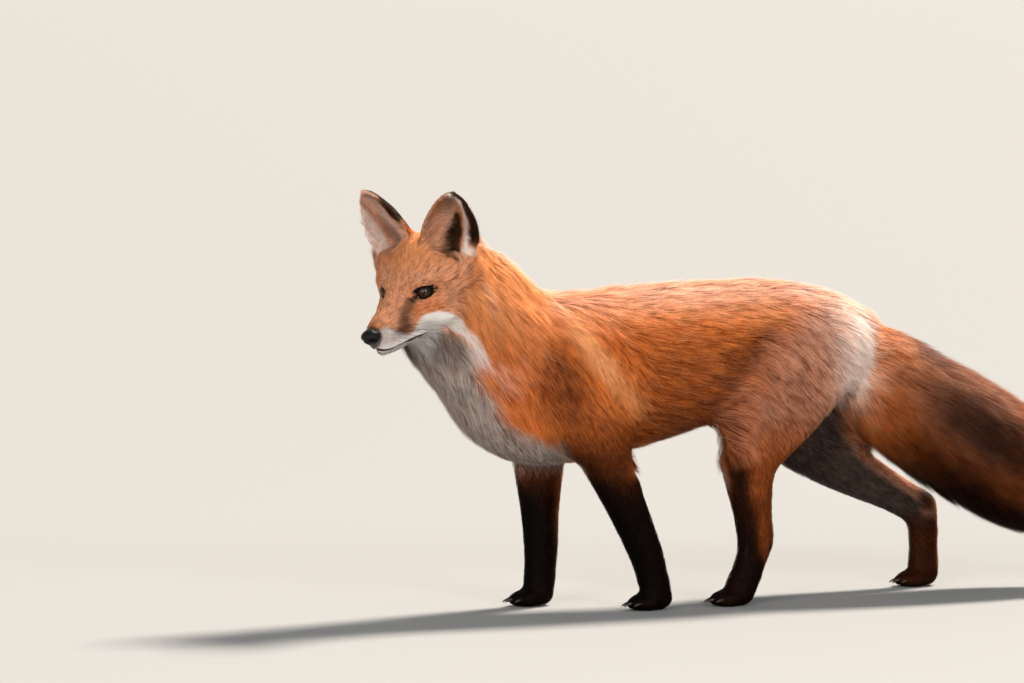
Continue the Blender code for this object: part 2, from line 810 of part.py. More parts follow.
def to_floor_centre(objects):
    """Puts the origin on the floor under the middle of the bounding box."""
    points = [v.co for obj in objects for v in obj.data.vertices]
    low = Vector([min(p[k] for p in points) for k in range(3)])
    high = Vector([max(p[k] for p in points) for k in range(3)])
    shift = Vector((-(low.x + high.x) / 2, -(low.y + high.y) / 2, -low.z))
    print("origin moved by", [round(v, 4) for v in shift], "size", [round(v, 4) for v in high - low])
    for obj in objects:
        obj.data.transform(Matrix.Translation(shift))


def main():
    clear_scene()
    body = whole_body()
    cuts = head_cuts() + tail_cuts() + leg_cuts(LEFT, "left") + leg_cuts(RIGHT, "right")
    cuts += trunk_cuts()
    pieces = {"trunk": body}
    for cut in cuts:
        pieces[cut.name] = parted(pieces[cut.source], cut.name, cut.cutter)
    for side, word in ((LEFT, "left"), (RIGHT, "right")):
        with_claws(pieces[word + "_fore_paw"], FORE[side].ball)
        with_claws(pieces[word + "_hind_paw"], HIND[side].ball)
        pieces[word + "_eye"] = eyeball(side, word + "_eye")
    to_floor_centre(list(pieces.values()))
    for obj in pieces.values():
        coloured(obj)
    faces = {name: sum(len(f.vertices) - 2 for f in o.data.polygons) for name, o in pieces.items()}
    print(len(pieces), "pieces,", sum(faces.values()), "triangles:", faces)


main()
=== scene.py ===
# %% [markdown]
# # The red fox: from plain solids to a coated animal
# The part's solids give the outline of a red fox out to the tips of its hairs. This lesson puts one
# seamless skin inside that outline, grows a coat of thin mesh hairs on it, and adds the eyes, the nose,
# the whiskers and the claws. Every step measures what it made.

# %% Load the imported solids
import math

import bmesh
import bpy
import numpy as np
from mathutils import Matrix, Vector
from mathutils.bvhtree import BVHTree
from mathutils.kdtree import KDTree
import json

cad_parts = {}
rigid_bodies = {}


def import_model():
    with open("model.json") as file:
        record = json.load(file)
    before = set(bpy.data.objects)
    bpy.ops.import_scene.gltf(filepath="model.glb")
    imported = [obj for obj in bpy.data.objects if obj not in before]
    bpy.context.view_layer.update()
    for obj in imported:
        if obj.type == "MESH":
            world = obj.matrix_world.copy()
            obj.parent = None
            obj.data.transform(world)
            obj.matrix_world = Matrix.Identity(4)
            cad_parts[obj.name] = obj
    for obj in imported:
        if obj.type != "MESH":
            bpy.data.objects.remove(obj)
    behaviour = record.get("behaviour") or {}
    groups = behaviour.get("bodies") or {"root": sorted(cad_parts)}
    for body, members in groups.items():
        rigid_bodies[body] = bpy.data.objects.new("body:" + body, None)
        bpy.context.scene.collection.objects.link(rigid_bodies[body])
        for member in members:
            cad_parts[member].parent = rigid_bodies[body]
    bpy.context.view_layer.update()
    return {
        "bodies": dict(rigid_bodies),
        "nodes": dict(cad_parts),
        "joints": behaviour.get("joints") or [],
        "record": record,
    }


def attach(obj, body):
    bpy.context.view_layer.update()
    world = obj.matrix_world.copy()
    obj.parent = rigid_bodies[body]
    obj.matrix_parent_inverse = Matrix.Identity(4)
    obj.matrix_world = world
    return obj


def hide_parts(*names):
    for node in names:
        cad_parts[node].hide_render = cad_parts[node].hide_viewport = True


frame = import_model()
NODES = frame["nodes"]
rng = np.random.default_rng(11)

# %% [markdown]
# ## Landmarks
# The fox faces -X and its left side is -Y. Its own origin is the floor point near its left forefoot, and
# the part's origin is the middle of its box, so one shift joins the two. The head has a frame of its own,
# turned 30 degrees to the left and tipped down 21 degrees, because every marking of the face is easier to
# place as so far forward, outward and up from between the eyes.

# %% The fox's own frames
FOX_ORIGIN = np.array((-0.1127, 0.0082, 0.0))
HEAD_YAW, HEAD_PITCH = math.radians(30), math.radians(21)
BETWEEN_EYES = Vector((-0.3585, -0.038, 0.3925)) + Vector(FOX_ORIGIN)
LEFT, RIGHT = -1, 1
SIDES = (LEFT, RIGHT)
SIDE_NAMES = {LEFT: "left", RIGHT: "right"}


def frame_of(forward, left, place):
    rows = Matrix((forward, left, Vector(forward).cross(Vector(left))))
    return Matrix.Translation(place) @ rows.transposed().to_4x4()


LEVEL = math.cos(HEAD_PITCH)
HEAD = frame_of(
    Vector((-math.cos(HEAD_YAW) * LEVEL, -math.sin(HEAD_YAW) * LEVEL, -math.sin(HEAD_PITCH))),
    Vector((math.sin(HEAD_YAW), -math.cos(HEAD_YAW), 0)),
    BETWEEN_EYES,
)
EAR_BASE, EAR_TIP = (-0.056, 0.037, 0.020), (-0.052, 0.066, 0.111)
EAR_TURN = {LEFT: math.radians(32), RIGHT: math.radians(8)}


def sided(place, side):
    """A place given for the left side, or its mirror image on the right."""
    return place[0], place[1] * -side, place[2]


def ear_frame(side):
    """Origin at the ear's base, third axis to its tip, first axis out of its opening."""
    base, tip = (HEAD @ Vector(sided(p, side)) for p in (EAR_BASE, EAR_TIP))
    up = (tip - base).normalized()
    turn = EAR_TURN[side] * -side
    opening = HEAD.to_3x3() @ Vector((math.cos(turn), math.sin(turn), 0))
    across = up.cross(opening).normalized()
    rows = Matrix((across.cross(up), across, up)).transposed().to_4x4()
    return Matrix.Translation(base) @ rows


def into(matrix, points):
    """Points of the part's frame, seen from another frame."""
    m = np.array(matrix.inverted())
    return points @ m[:3, :3].T + m[:3, 3]


def turned(matrix, vectors):
    """Directions of another frame, seen from the part's frame."""
    return vectors @ np.array(matrix)[:3, :3].T


def step(x, low, high):
    """0 below low, 1 above high (or the other way round) and smooth between."""
    t = np.clip((x - low) / (high - low), 0.0, 1.0)
    return t * t * (3 - 2 * t)


def window(x, a, b, c, d):
    """1 between two soft edges: one goes from a to b, the other from c to d."""
    return step(x, a, b) * step(x, c, d)


def unit(v):
    return v / np.maximum(np.linalg.norm(v, axis=-1, keepdims=True), 1e-12)


def blob(at, place, reach, low=1.0, high=0.25):
    """1 near a place and 0 beyond its reach, which may differ along the three axes."""
    return step(np.linalg.norm((at - np.array(place)) / reach, axis=-1), low, high)


print("between the eyes:", [round(v, 4) for v in BETWEEN_EYES])

# %% [markdown]
# ## Eyes: where they sit
# A fox's eye is a ball of about 20 mm, looking 30 degrees outward. The lids leave an almond of some 22 by
# 13 mm open, a little higher at its outer end. The same frame serves the ball, the lids and the black rim,
# so it comes first.

# %% Eye frames
EYE_RADIUS = 0.0098
EYE_PLACE = (-0.0085, 0.0262, -0.001)
EYE_OUTWARD = math.radians(30)
LID_HALF = (0.0108, 0.0068, 0.0058)  # across, up and down
RIM_HALF = (0.0168, 0.0085, 0.0072)  # the bare black skin around them
LID_TILT = 0.05  # rise of the almond towards its outer end


def eye_frame(side):
    """Its first axis is where the eye looks, its third points up."""
    outward = EYE_OUTWARD * -side
    look = Vector((math.cos(outward), math.sin(outward), 0.10)).normalized()
    level = Vector((0, 0, 1)).cross(look).normalized()
    return HEAD @ frame_of(look, level, Vector(sided(EYE_PLACE, side)))


def from_eye(side, points):
    """How far each point is from the middle of an eye."""
    return np.linalg.norm(into(eye_frame(side), points), axis=1)


def outside_lids(local, side, half=LID_HALF):
    """How far a point in an eye's frame lies outside the almond between the lids: 1 is on its edge."""
    y, z = local[:, 1], local[:, 2] - LID_TILT * local[:, 1] * -side
    across = (np.abs(y) / half[0]) ** 1.5
    over = (np.abs(z) / np.where(z > 0, half[1], half[2])) ** 1.8
    return (across + over) ** (1 / 1.6)


print("eye centres:", [[round(v, 4) for v in eye_frame(side).translation] for side in SIDES])

# %% [markdown]
# ## One skin
# The solids are parted by thin cuts, and a coat grown on them would show the seams. So their flesh is
# copied, swollen until the cuts close, and melted on a fine grid by a Remesh modifier into one surface.
# The grid keeps the shape and forgets the cuts. The eye sockets are filled first, because the lids are
# modelled again more finely later, and a plug fills the well of each ear, which fur hides on a fox.

# %% Melt the flesh into one surface
APART = ("nose", "left_eye", "right_eye")
FLESH = [name for name in NODES if name not in APART]
GRAIN = 0.0022  # size of the grid
FLESH_SWELL, NOSE_SWELL = 0.0005, -0.0012
EAR_PLUG = (0.0200, 0.0200, 0.0150)  # half sizes of the ball that fills the well of an ear


def new_object(name, content):
    obj = bpy.data.objects.new(name, content)
    bpy.context.scene.collection.objects.link(obj)
    return obj


def mesh_from(bm, name):
    """A mesh of the shape that has been built, which then isn't needed any more."""
    mesh = bpy.data.meshes.new(name)
    bm.to_mesh(mesh)
    bm.free()
    return mesh


def settled(obj):
    """Makes an object's modifiers permanent."""
    graph = bpy.context.evaluated_depsgraph_get()
    mesh = bpy.data.meshes.new_from_object(obj.evaluated_get(graph))
    obj.modifiers.clear()
    obj.data = mesh
    return obj


def melted_flesh():
    whole = bmesh.new()
    for name in FLESH + ["nose"]:
        piece = bmesh.new()
        piece.from_mesh(NODES[name].data)
        bmesh.ops.remove_doubles(piece, verts=piece.verts, dist=1e-6)
        piece.normal_update()
        swell = NOSE_SWELL if name == "nose" else FLESH_SWELL
        for v in piece.verts:
            v.co += v.normal * swell
        mesh = mesh_from(piece, "swollen")
        whole.from_mesh(mesh)
        bpy.data.meshes.remove(mesh)
    for side in SIDES:
        ball = bmesh.ops.create_icosphere(whole, subdivisions=4, radius=EYE_RADIUS + 0.0006)
        bmesh.ops.transform(whole, matrix=eye_frame(side), verts=ball["verts"])
        plug = bmesh.ops.create_icosphere(whole, subdivisions=4, radius=1)
        bmesh.ops.scale(whole, vec=EAR_PLUG, verts=plug["verts"])
        place = Matrix.Translation((-0.004, 0.002 * -side, -0.003))
        bmesh.ops.transform(whole, matrix=ear_frame(side) @ place, verts=plug["verts"])
    obj = new_object("skin", mesh_from(whole, "skin"))
    melt = obj.modifiers.new("melt", "REMESH")
    melt.mode = "VOXEL"
    melt.voxel_size = GRAIN
    return settled(obj)


def coordinates(mesh):
    co = np.empty(len(mesh.vertices) * 3)
    mesh.vertices.foreach_get("co", co)
    return co.reshape(-1, 3)


def neighbours(mesh):
    edges = np.empty(len(mesh.edges) * 2, int)
    mesh.edges.foreach_get("vertices", edges)
    return edges.reshape(-1, 2)


def vertex_normals(mesh, points):
    """Moves the mesh's vertices to the points, and measures its normals there."""
    mesh.vertices.foreach_set("co", points.ravel())
    mesh.update()
    normals = np.empty(len(mesh.vertices) * 3)
    mesh.vertices.foreach_get("normal", normals)
    return normals.reshape(-1, 3)


def spread(values, edges, passes, share=0.5):
    """Values at the vertices, evened out along the edges."""
    values = values.astype(float).copy()
    flat = values.reshape(len(values), -1)
    count = np.maximum(np.bincount(edges.ravel(), minlength=len(values)), 1).astype(float)
    share = np.broadcast_to(share, len(values))
    for _ in range(passes):
        for k in range(flat.shape[1]):
            total = np.bincount(edges[:, 0], flat[edges[:, 1], k], len(values))
            total += np.bincount(edges[:, 1], flat[edges[:, 0], k], len(values))
            flat[:, k] += share * (total / count - flat[:, k])
    return flat.reshape(values.shape)


skin = melted_flesh()
print("melted skin:", len(skin.data.vertices), "vertices")

# %% [markdown]
# ## What grows where
# Each part of a fox has hair of its own: a few millimetres on the muzzle and feet, four centimetres on the
# neck, six on the tail. A table by body part is easy to read and to change. Its values are looked up at
# the nearest solid and then spread over the skin, so that one kind of coat passes into the next.

# %% The table of the coat
Coat = {}


def coat(nodes, length, depth, lie, width=0.45, density=1.0):
    """Length, depth and width in millimetres, and the way that the hairs lie, in the fox's frame."""
    for name in nodes.split():
        Coat[name] = (length / 1000, depth / 1000, np.array(lie, float), width / 1000, density)


coat("head", 8, 2.2, (0, 0, 0), 0.23, 5.4)
coat("lower_jaw", 6, 1.6, (0, 0, 0), 0.23, 5.2)
coat("left_ear right_ear", 6, 0.6, (0, 0, 0), 0.23, 4.4)
coat("neck", 38, 13, (0.60, 0, -0.80), 0.42, 1.15)
coat("chest", 34, 12, (0.62, 0, -0.78), 0.42, 1.05)
coat("trunk", 34, 10, (1.0, 0, -0.20), 0.42, 1.0)
coat("rump", 34, 10, (0.88, 0, -0.42), 0.42, 1.0)
coat("left_upper_arm right_upper_arm", 23, 7, (0.45, 0, -0.89), 0.38, 1.4)
coat("left_thigh right_thigh", 30, 8.5, (0.66, 0, -0.75), 0.40, 1.15)
coat("left_forearm", 11, 3.0, (0.24, 0, -0.97), 0.34, 1.9)
coat("right_forearm", 12, 3.0, (0.02, 0, -1.0), 0.34, 1.9)
coat("left_shank", 12, 3.2, (0.20, 0, -0.98), 0.34, 1.9)
coat("right_shank", 13, 3.2, (0.80, 0, -0.50), 0.34, 1.9)
coat("left_fore_paw right_fore_paw", 6, 1.2, (-0.75, 0, -0.66), 0.30, 2.0)
coat("left_hind_paw right_hind_paw", 6, 1.2, (-0.75, 0, -0.66), 0.30, 2.0)
coat("tail_root", 50, 21, (0.82, 0, -0.57), 0.50, 1.1)
coat("tail_brush", 62, 25, (0.85, -0.08, -0.52), 0.52, 1.15)
coat("tail_tip", 62, 23, (0.93, -0.07, -0.36), 0.52, 1.2)
assert set(Coat) == set(FLESH)


def nearest_node(points):
    """The flesh solid that is nearest to each point."""
    verts, faces, owner = [], [], []
    for index, name in enumerate(FLESH):
        mesh = NODES[name].data
        base = len(verts)
        verts += [v.co.copy() for v in mesh.vertices]
        faces += [[base + i for i in f.vertices] for f in mesh.polygons]
        owner += [index] * len(mesh.polygons)
    tree = BVHTree.FromPolygons(verts, faces)
    return np.array([owner[tree.find_nearest(p)[2]] for p in points])


body = skin.data
edges = neighbours(body)
points = coordinates(body)
owner = nearest_node(points)
names = np.array(FLESH)[owner]
table = [Coat[name] for name in FLESH]
length, depth, lie, width, density = (np.array([row[k] for row in table])[owner] for k in range(5))

# the face's short hair grows longer towards the ruff and the nape
head_at = into(HEAD, points)
on_skull = np.isin(names, ("head", "lower_jaw"))
ruff = on_skull * step(head_at[:, 0], -0.014, -0.060) * step(head_at[:, 2], 0.045, 0.005)
ruff = np.maximum(ruff, on_skull * step(head_at[:, 0], -0.040, -0.075))
ruff = np.maximum(ruff, (names == "lower_jaw") * step(head_at[:, 0], 0.012, -0.02) * 0.6)
for values, more in ((length, 0.021), (depth, 0.0090), (width, 0.00008)):
    values += more * ruff
density *= 1 - 0.55 * ruff


def shorter(nodes, low, high, length_there, depth_there):
    """Lets the long hair of the body run out into the short hair of a leg, between two heights."""
    share = np.isin(names, nodes.split()) * step(points[:, 2], high, low)
    length[:] += share * (length_there - length)
    depth[:] += share * (depth_there - depth)


shorter("left_upper_arm", 0.195, 0.275, 0.011, 0.0033)
shorter("right_upper_arm chest", 0.185, 0.250, 0.014, 0.0045)
shorter("left_thigh rump", 0.195, 0.300, 0.012, 0.0036)
shorter("right_thigh", 0.140, 0.250, 0.014, 0.0038)
print("coat length from", length.min(), "to", length.max())

# %% [markdown]
# ## The skin drawn in by the coat's depth
# The solids end where the hairs end, so the skin has to lie deeper by the height that the coat stands.
# It is moved inward along its own normals in small stages and evened after each, so that hollows such as
# the groin don't fold over. The facets of the solids vanish in the same passes.

# %% Smooth the skin and draw it in
DEEPEST_LOOK = 0.06  # how far a ray looks for the other side of the body
STAGES = 6
is_ear = np.isin(names, ("left_ear", "right_ear"))
is_paw = np.char.find(names, "paw") >= 0
ear_root = np.zeros(len(points))
ear_well = np.zeros(len(points))
for side in SIDES:
    local = into(ear_frame(side), points) * (1, -side, 1)
    out, edge, high = local.T
    ear_root = np.maximum(ear_root, blob(local, (-0.014, 0.004, 0.002), 1, 0.060, 0.036))
    in_well = (np.abs(edge) < 0.034) & (np.abs(out) < 0.03) & (high > -0.02)
    ear_well = np.maximum(ear_well, in_well * step(high, 0.017, 0.010))
loose = np.where(is_ear, 0.30, np.where(on_skull, 0.28 + 0.72 * ruff, np.where(is_paw, 0.35, 1.0)))
loose = spread(np.maximum(loose, ear_well), edges, 8)
length, depth, width, density = (spread(v, edges, 40) for v in (length, depth, width, density))
depth = np.where(is_ear, np.minimum(depth, 0.0010), depth)
depth += ear_root * (np.minimum(depth, 0.0020) - depth)
length += 0.75 * ear_root * (np.minimum(length, 0.014) - length)
points = spread(points, edges, 22, loose * 0.7)


def thickness(mesh, points, normals):
    """How thick the body is under each point; thin places can't be drawn in by much."""
    bm = bmesh.new()
    bm.from_mesh(mesh)
    tree = BVHTree.FromBMesh(bm)
    bm.free()
    starts = zip(points - normals * 0.0005, -normals)
    hits = (tree.ray_cast(Vector(start), Vector(way), DEEPEST_LOOK)[3] for start, way in starts)
    return np.array([DEEPEST_LOOK if hit is None else hit for hit in hits])


thick = thickness(body, points, vertex_normals(body, points))
depth = spread(np.minimum(depth, 0.28 * thick), edges, 12)
for stage in range(STAGES):
    points -= vertex_normals(body, points) * (depth / STAGES)[:, None]
    points = spread(points, edges, 4, loose * 0.45)
normals = vertex_normals(body, points)
print("skin drawn in by (mm):", [round(float(v) * 1000, 1) for v in (depth.min(), depth.max())])

# %% [markdown]
# ## Fewer faces for the body, more for the face
# The fine grid was needed to melt thin ears, and is wasteful on a flank. Decimate thins the whole skin out,
# and then the faces of the head are cut in four, and again close to the eyes and the lips, which spends the
# faces where they show. What was known at each old vertex is carried over to the nearest new one.

# %% Thin out the body, refine the head
SKIN_TRIANGLES = 118000  # before the head is refined
# the line of the lips from the nose back, as forward and up in the head's frame
MOUTH = np.array((
    (0.074, -0.0400), (0.066, -0.0455), (0.055, -0.0482), (0.040, -0.0490),
    (0.025, -0.0500), (0.010, -0.0520), (0.002, -0.0530), (-0.004, -0.0515),
))


def from_mouth(head):
    """How far above the line of the lips a point lies, in the head's frame."""
    return head[:, 2] - np.interp(head[:, 0], MOUTH[::-1, 0], MOUTH[::-1, 1])


def tree_of(points):
    tree = KDTree(len(points))
    for index, p in enumerate(points):
        tree.insert(p, index)
    tree.balance()
    return tree


def nearest(tree, points):
    """The index of the tree's point that is nearest to each point."""
    return np.array([tree.find(p)[1] for p in points])


def finer(obj, wanted):
    """Cuts the faces whose vertices are all wanted."""
    bm = bmesh.new()
    bm.from_mesh(obj.data)
    bm.verts.ensure_lookup_table()
    edges = [e for e in bm.edges if wanted[e.verts[0].index] and wanted[e.verts[1].index]]
    bmesh.ops.subdivide_edges(bm, edges=edges, cuts=1, use_grid_fill=True)
    bmesh.ops.triangulate(bm, faces=bm.faces, quad_method="BEAUTY", ngon_method="BEAUTY")
    bm.to_mesh(obj.data)
    bm.free()


def thin_out(obj, triangles):
    obj.data.calc_loop_triangles()
    thin = obj.modifiers.new("thin out", "DECIMATE")
    thin.ratio = triangles / len(obj.data.loop_triangles)
    settled(obj)


def from_eyes(points):
    return np.minimum(*(from_eye(side, points) for side in SIDES))


def refine_head(obj):
    forward, outward, up = into(HEAD, coordinates(obj.data)).T
    finer(obj, (forward > -0.070) & (np.abs(outward) < 0.070) & (up < 0.045) & (up > -0.072))
    points = coordinates(obj.data)
    head = into(HEAD, points)
    lips = (np.abs(from_mouth(head)) < 0.005) & (head[:, 0] > -0.012) & (head[:, 0] < 0.08)
    finer(obj, (from_eyes(points) < 0.0175) | lips)
    finer(obj, from_eyes(coordinates(obj.data)) < 0.0145)


old_tree = tree_of(points)
thin_out(skin, SKIN_TRIANGLES)
refine_head(skin)
body = skin.data
points = coordinates(body)
edges = neighbours(body)
kept = nearest(old_tree, points)
names, length, depth, lie, width, density = (v[kept] for v in (names, length, depth, lie, width, density))
owner = owner[kept]
for _ in range(4):
    in_head = step(np.linalg.norm(into(HEAD, points), axis=1), 0.11, 0.09)
    points = spread(points, edges, 1, 0.3 * in_head * ~is_ear[kept])
normals = vertex_normals(body, points)
print("thinned skin with a finer face:", len(points), "vertices")

# %% [markdown]
# ## Temples, chin, lids and lips
# A fox's cheeks stand out beside the eyes, and its muzzle meets the brow in a shallow dip. Smoothing has
# flattened both, so soft blobs push them back into place. The eye is what a viewer looks at first: around
# each one the skin is laid on a ball a little larger than the eye, and inside the almond it drops behind
# the eye's surface, which leaves a crisp lid with a real edge. The mouth is a fold: the skin sinks along
# the line of the lips.

# %% Shape the lids and the mouth
INNER_CORNER = (0.0125, 0.0135, 0.004)  # where the bridge of the nose meets the left eye
TEMPLE_OUT = {LEFT: 0.0022, RIGHT: 0.0085}
RUFF_TIP = np.array(HEAD @ Vector((-0.062, -0.064, -0.060)))


def fuller_face(points):
    """Fuller temples, more so on the right, a dip beside the bridge of the nose, and a deeper chin."""
    head = into(HEAD, points)
    skull = spread(np.isin(names, ("head", "neck")).astype(float), edges, 6)
    for side, amount in TEMPLE_OUT.items():
        temple = blob(head, sided((-0.034, 0.046, 0.012), side), (0.034, 0.034, 0.040))
        temple *= (head[:, 1] * -side > 0.008) * step(from_eye(side, points), 0.0135, 0.0215) * skull
        head[:, 1] += -side * amount * temple
        head[:, 0] += 0.25 * amount * temple
        dip = blob(head, sided(INNER_CORNER, side), (0.016, 0.0085, 0.012), 1.0, 0.2)
        head[:, 1] -= -side * 0.0022 * dip
        head[:, 2] -= 0.0012 * dip
    chin = step(from_mouth(head), -0.0012, -0.0050) * step(head[:, 0], 0.004, 0.030)
    chin *= step(head[:, 0], 0.080, 0.070) * (np.abs(head[:, 1]) < 0.03)
    head[:, 2] -= 0.0028 * chin
    return turned(HEAD, head) + np.array(HEAD.translation)


def lay_lids(points):
    for side in SIDES:
        eye = eye_frame(side)
        local = into(eye, points)
        reach = np.linalg.norm(local, axis=1)
        near = (local[:, 0] > 0.0005) & (reach < 0.020)
        edge = outside_lids(local, side)
        over = EYE_RADIUS + 0.0005 + 0.0012 * step(edge, 0.98, 1.25)
        over += 0.0010 * step(edge, 1.0, 1.5) * (local[:, 2] > 0)
        radius = np.where(edge < 0.97, EYE_RADIUS - 0.0012, over)
        share = step(edge, 2.3, 1.35) * step(reach, 0.020, 0.0145)
        share = np.where(edge < 0.97, 1.0, share) * near
        local += share[:, None] * (unit(local) * radius[:, None] - local)
        moved = turned(eye, local) + np.array(eye.translation)
        points[near] = moved[near]
    return points


def fold_mouth(points, normals):
    head = into(HEAD, points)
    above = from_mouth(head)
    along = step(head[:, 0], -0.010, 0.0) * step(head[:, 0], 0.080, 0.074)
    sink = 0.0020 * step(np.abs(above), 0.0022, 0.0002) * along
    lip = 0.0010 * window(above, 0.0, 0.003, 0.009, 0.005) * along
    return points + normals * (lip - sink)[:, None]


points = fuller_face(points)
points = spread(points, edges, 60, 0.8 * blob(points, RUFF_TIP, 1, 0.026, 0.013))
for _ in range(3):
    points = lay_lids(points)
points = fold_mouth(points, normals)
points[:, 2] = np.maximum(points[:, 2], 0.0002)
normals = vertex_normals(body, points)
print("skin of the head shaped; lowest point at", round(float(points[:, 2].min()) * 1000, 2), "mm")

# %% [markdown]
# ## A map of each ear
# An ear is a folded leaf: a bare-looking lining, a furred back, and a rim between them. Later steps need
# to know on which of these a point lies, so each ear gets its own small map, measured in its own frame.

# %% Map the ears
class Ear:
    """Where each point of the skin lies in one ear: out of the opening, towards the outer edge, and up."""

    def __init__(self, side):
        frame = ear_frame(side)
        local = into(frame, points) * (1, -side, 1)
        self.out, self.edge, self.up = local.T
        self.ways = [np.array(frame.col[k][:3]) * sign for k, sign in enumerate((1, -side, 1))]
        self.facing = normals @ self.ways[0]
        self.mine = spread((names == SIDE_NAMES[side] + "_ear").astype(float), edges, 6)
        self.inside = self.lining()
        before = window(self.out, -0.006, 0.004, 0.034, 0.016)
        before *= step(np.abs(self.edge), 0.042, 0.028)
        self.front = before * window(self.up, -0.030, -0.012, 0.022, 0.010) * (1 - self.inside)
        behind = blob(local, (-0.030, 0.012, 0.004), (0.016, 0.026, 0.020), 1.0, 0.4)
        self.behind = behind * (1 - self.inside) * (1 - self.mine)
        self.rim = self.mine * step(np.abs(self.edge), 0.016, 0.026) * step(np.abs(self.facing), 0.75, 0.4)

    def lining(self):
        """The inner wall of the shell and the floor of its well."""
        wall = step(self.up, -0.004, 0.008) * step(self.facing, 0.10, 0.45) * (self.out < 0.006)
        deepest = np.where(self.edge < 0.006, -0.015, -0.024)
        floor = step(normals @ self.ways[2], 0.2, 0.5) * step(self.facing, -0.45, -0.2)
        floor *= (self.out > deepest) * (self.out < 0.015) * (self.up > -0.004) * (self.up < 0.022)
        near = step(np.abs(self.edge), 0.040, 0.034) * (self.out > -0.03)
        return near * np.maximum(wall, floor * (np.abs(self.edge) < 0.026))


ears = {side: Ear(side) for side in SIDES}
print("share of the skin inside the ears:", [round(float(ear.inside.mean()), 4) for ear in ears.values()])

# %% [markdown]
# ## The lie of the coat
# Hair is combed by the body's shape: back from the nose, down the neck, along the flank, down the legs and
# out along the tail. On the face it spreads from the nose like rays, around an eye it leaves the lids, and
# on an ear it runs up to the tip. The directions are spread over the skin as the lengths were, then laid
# flat on it.

# %% Comb the skin
RAYS_FROM = (0.125, 0.0, -0.012)  # a place ahead of the nose, in the head's frame
head_at = into(HEAD, points)
forward, outward, up = head_at.T
on_skull = np.isin(names, ("head", "lower_jaw"))
rays = head_at - np.array(RAYS_FROM)
rays[:, 2] -= 0.020 * step(forward, -0.015, -0.06) * step(up, 0.0, -0.03)
rays[:, 1] *= 1.25
faces_ahead = normals[:, 0] < -0.35
lie[names == "head"] = turned(HEAD, unit(rays))[names == "head"]
lie[names == "lower_jaw"] = turned(HEAD, np.array((-1.0, 0.0, -0.25)))
lie[(names == "neck") & faces_ahead] = (0.35, 0, -0.94)
lie[(names == "chest") & faces_ahead] = (0.50, 0, -0.86)
for ear in ears.values():
    lie[ear.mine > 0.5] = ear.ways[2]


def laid_flat(lie):
    return unit(lie - normals * np.sum(lie * normals, axis=1, keepdims=True))


def turned_to(way, share):
    """The lie of the coat, turned towards another way by a share at each vertex."""
    return laid_flat(lie + share[:, None] * way)


lie = laid_flat(spread(laid_flat(spread(lie, edges, 30)), edges, 4))
for ear in ears.values():
    sweep = 1.1 * step(ear.edge, 0.010, -0.004) - 0.9 * step(ear.edge, 0.010, 0.020)
    within = ear.ways[2] + ear.ways[1] * sweep[:, None] + ear.ways[0] * 0.2
    lie = np.where(ear.inside[:, None] > 0.4, laid_flat(within), lie)
    lie = turned_to(ear.ways[2] - 0.3 * ear.ways[0], 1.2 * ear.front)
    lie = turned_to(0.6 * ear.ways[2] - ear.ways[0] + 0.4 * ear.ways[1], 1.5 * ear.behind)
    fringe = unit(ear.ways[2] * 0.9 + ear.ways[1] * np.sign(ear.edge)[:, None] + normals * 0.2)
    ear.fringed = (ear.rim > 0.5) & (ear.edge > 0) & (ear.up > 0.016)
    lie = np.where(ear.fringed[:, None], fringe, lie)
around_eyes = {}
for side in SIDES:
    local = into(eye_frame(side), points)
    around = step(outside_lids(local, side), 2.6, 1.2) * (local[:, 0] > -0.004)
    around_eyes[side] = around * (np.linalg.norm(local, axis=1) < 0.026)
    lie = turned_to(unit(turned(eye_frame(side), local * (0, 1, 1))), 1.6 * around_eyes[side])
print("combed:", len(lie), "directions, straightest at", round(float(np.abs(lie).max()), 3))

# %% [markdown]
# ## Longer and shorter hair
# The table gave each body part one length. The small places come now: the tufts before and behind an ear,
# the bare lining, the short hair around lids and lips, the temples, and the elbows, where long hair would
# hang across the gap between leg and breast.

# %% Trim the coat
RIM_HAIR = {LEFT: 0.0040, RIGHT: 0.009}
TEMPLE_HAIR = {LEFT: (0.002, 0.0004), RIGHT: (0.006, 0.0034)}


def no_more_than(limits, share):
    """Brings the coat's length and depth down to limits, by a share at each vertex."""
    return tuple(v + share * (np.minimum(v, limit) - v) for v, limit in zip((length, depth), limits))


for side, ear in ears.items():
    on_shell = ear.mine * step(ear.up, -0.012, 0.004)
    length = length + on_shell * (0.0055 - length) + 0.008 * ear.front + 0.010 * ear.behind
    depth = depth + on_shell * (0.0008 - depth) + 0.0030 * ear.front + 0.0085 * ear.behind
    lined = ear.inside > 0.4
    from_middle = np.abs(ear.edge - 0.009)
    tufted = 0.012 * step(ear.edge, 0.010, 0.0) * step(ear.up, 0.075, 0.030)
    length = np.where(lined, 0.004 + tufted + 0.005 * step(ear.edge, 0.014, 0.024), length)
    length = np.where(ear.fringed, RIM_HAIR[side], length)
    depth = np.where(lined, 0.0008 + 0.0035 * step(from_middle, 0.004, 0.012), depth)
    density = density * (1 + 0.3 * ear.front)
    density = np.where(lined, density * (0.35 + 0.65 * step(from_middle, 0.002, 0.009)), density)
for around in around_eyes.values():
    length = length * (1 - 0.72 * around)
    depth = depth * (1 - 0.6 * around)
for side in SIDES:
    temple = blob(head_at, sided((-0.036, 0.050, 0.010), side), (0.030, 0.030, 0.042), 1.0, 0.35)
    temple *= on_skull * step(from_eye(side, points), 0.018, 0.028)
    longer, deeper = TEMPLE_HAIR[side]
    corner = blob(head_at, sided(INNER_CORNER, side), (0.018, 0.011, 0.014), 1.0, 0.4)
    length = (length + longer * temple) * (1 - 0.35 * corner)
    depth = (depth + deeper * temple) * (1 - 0.70 * corner)
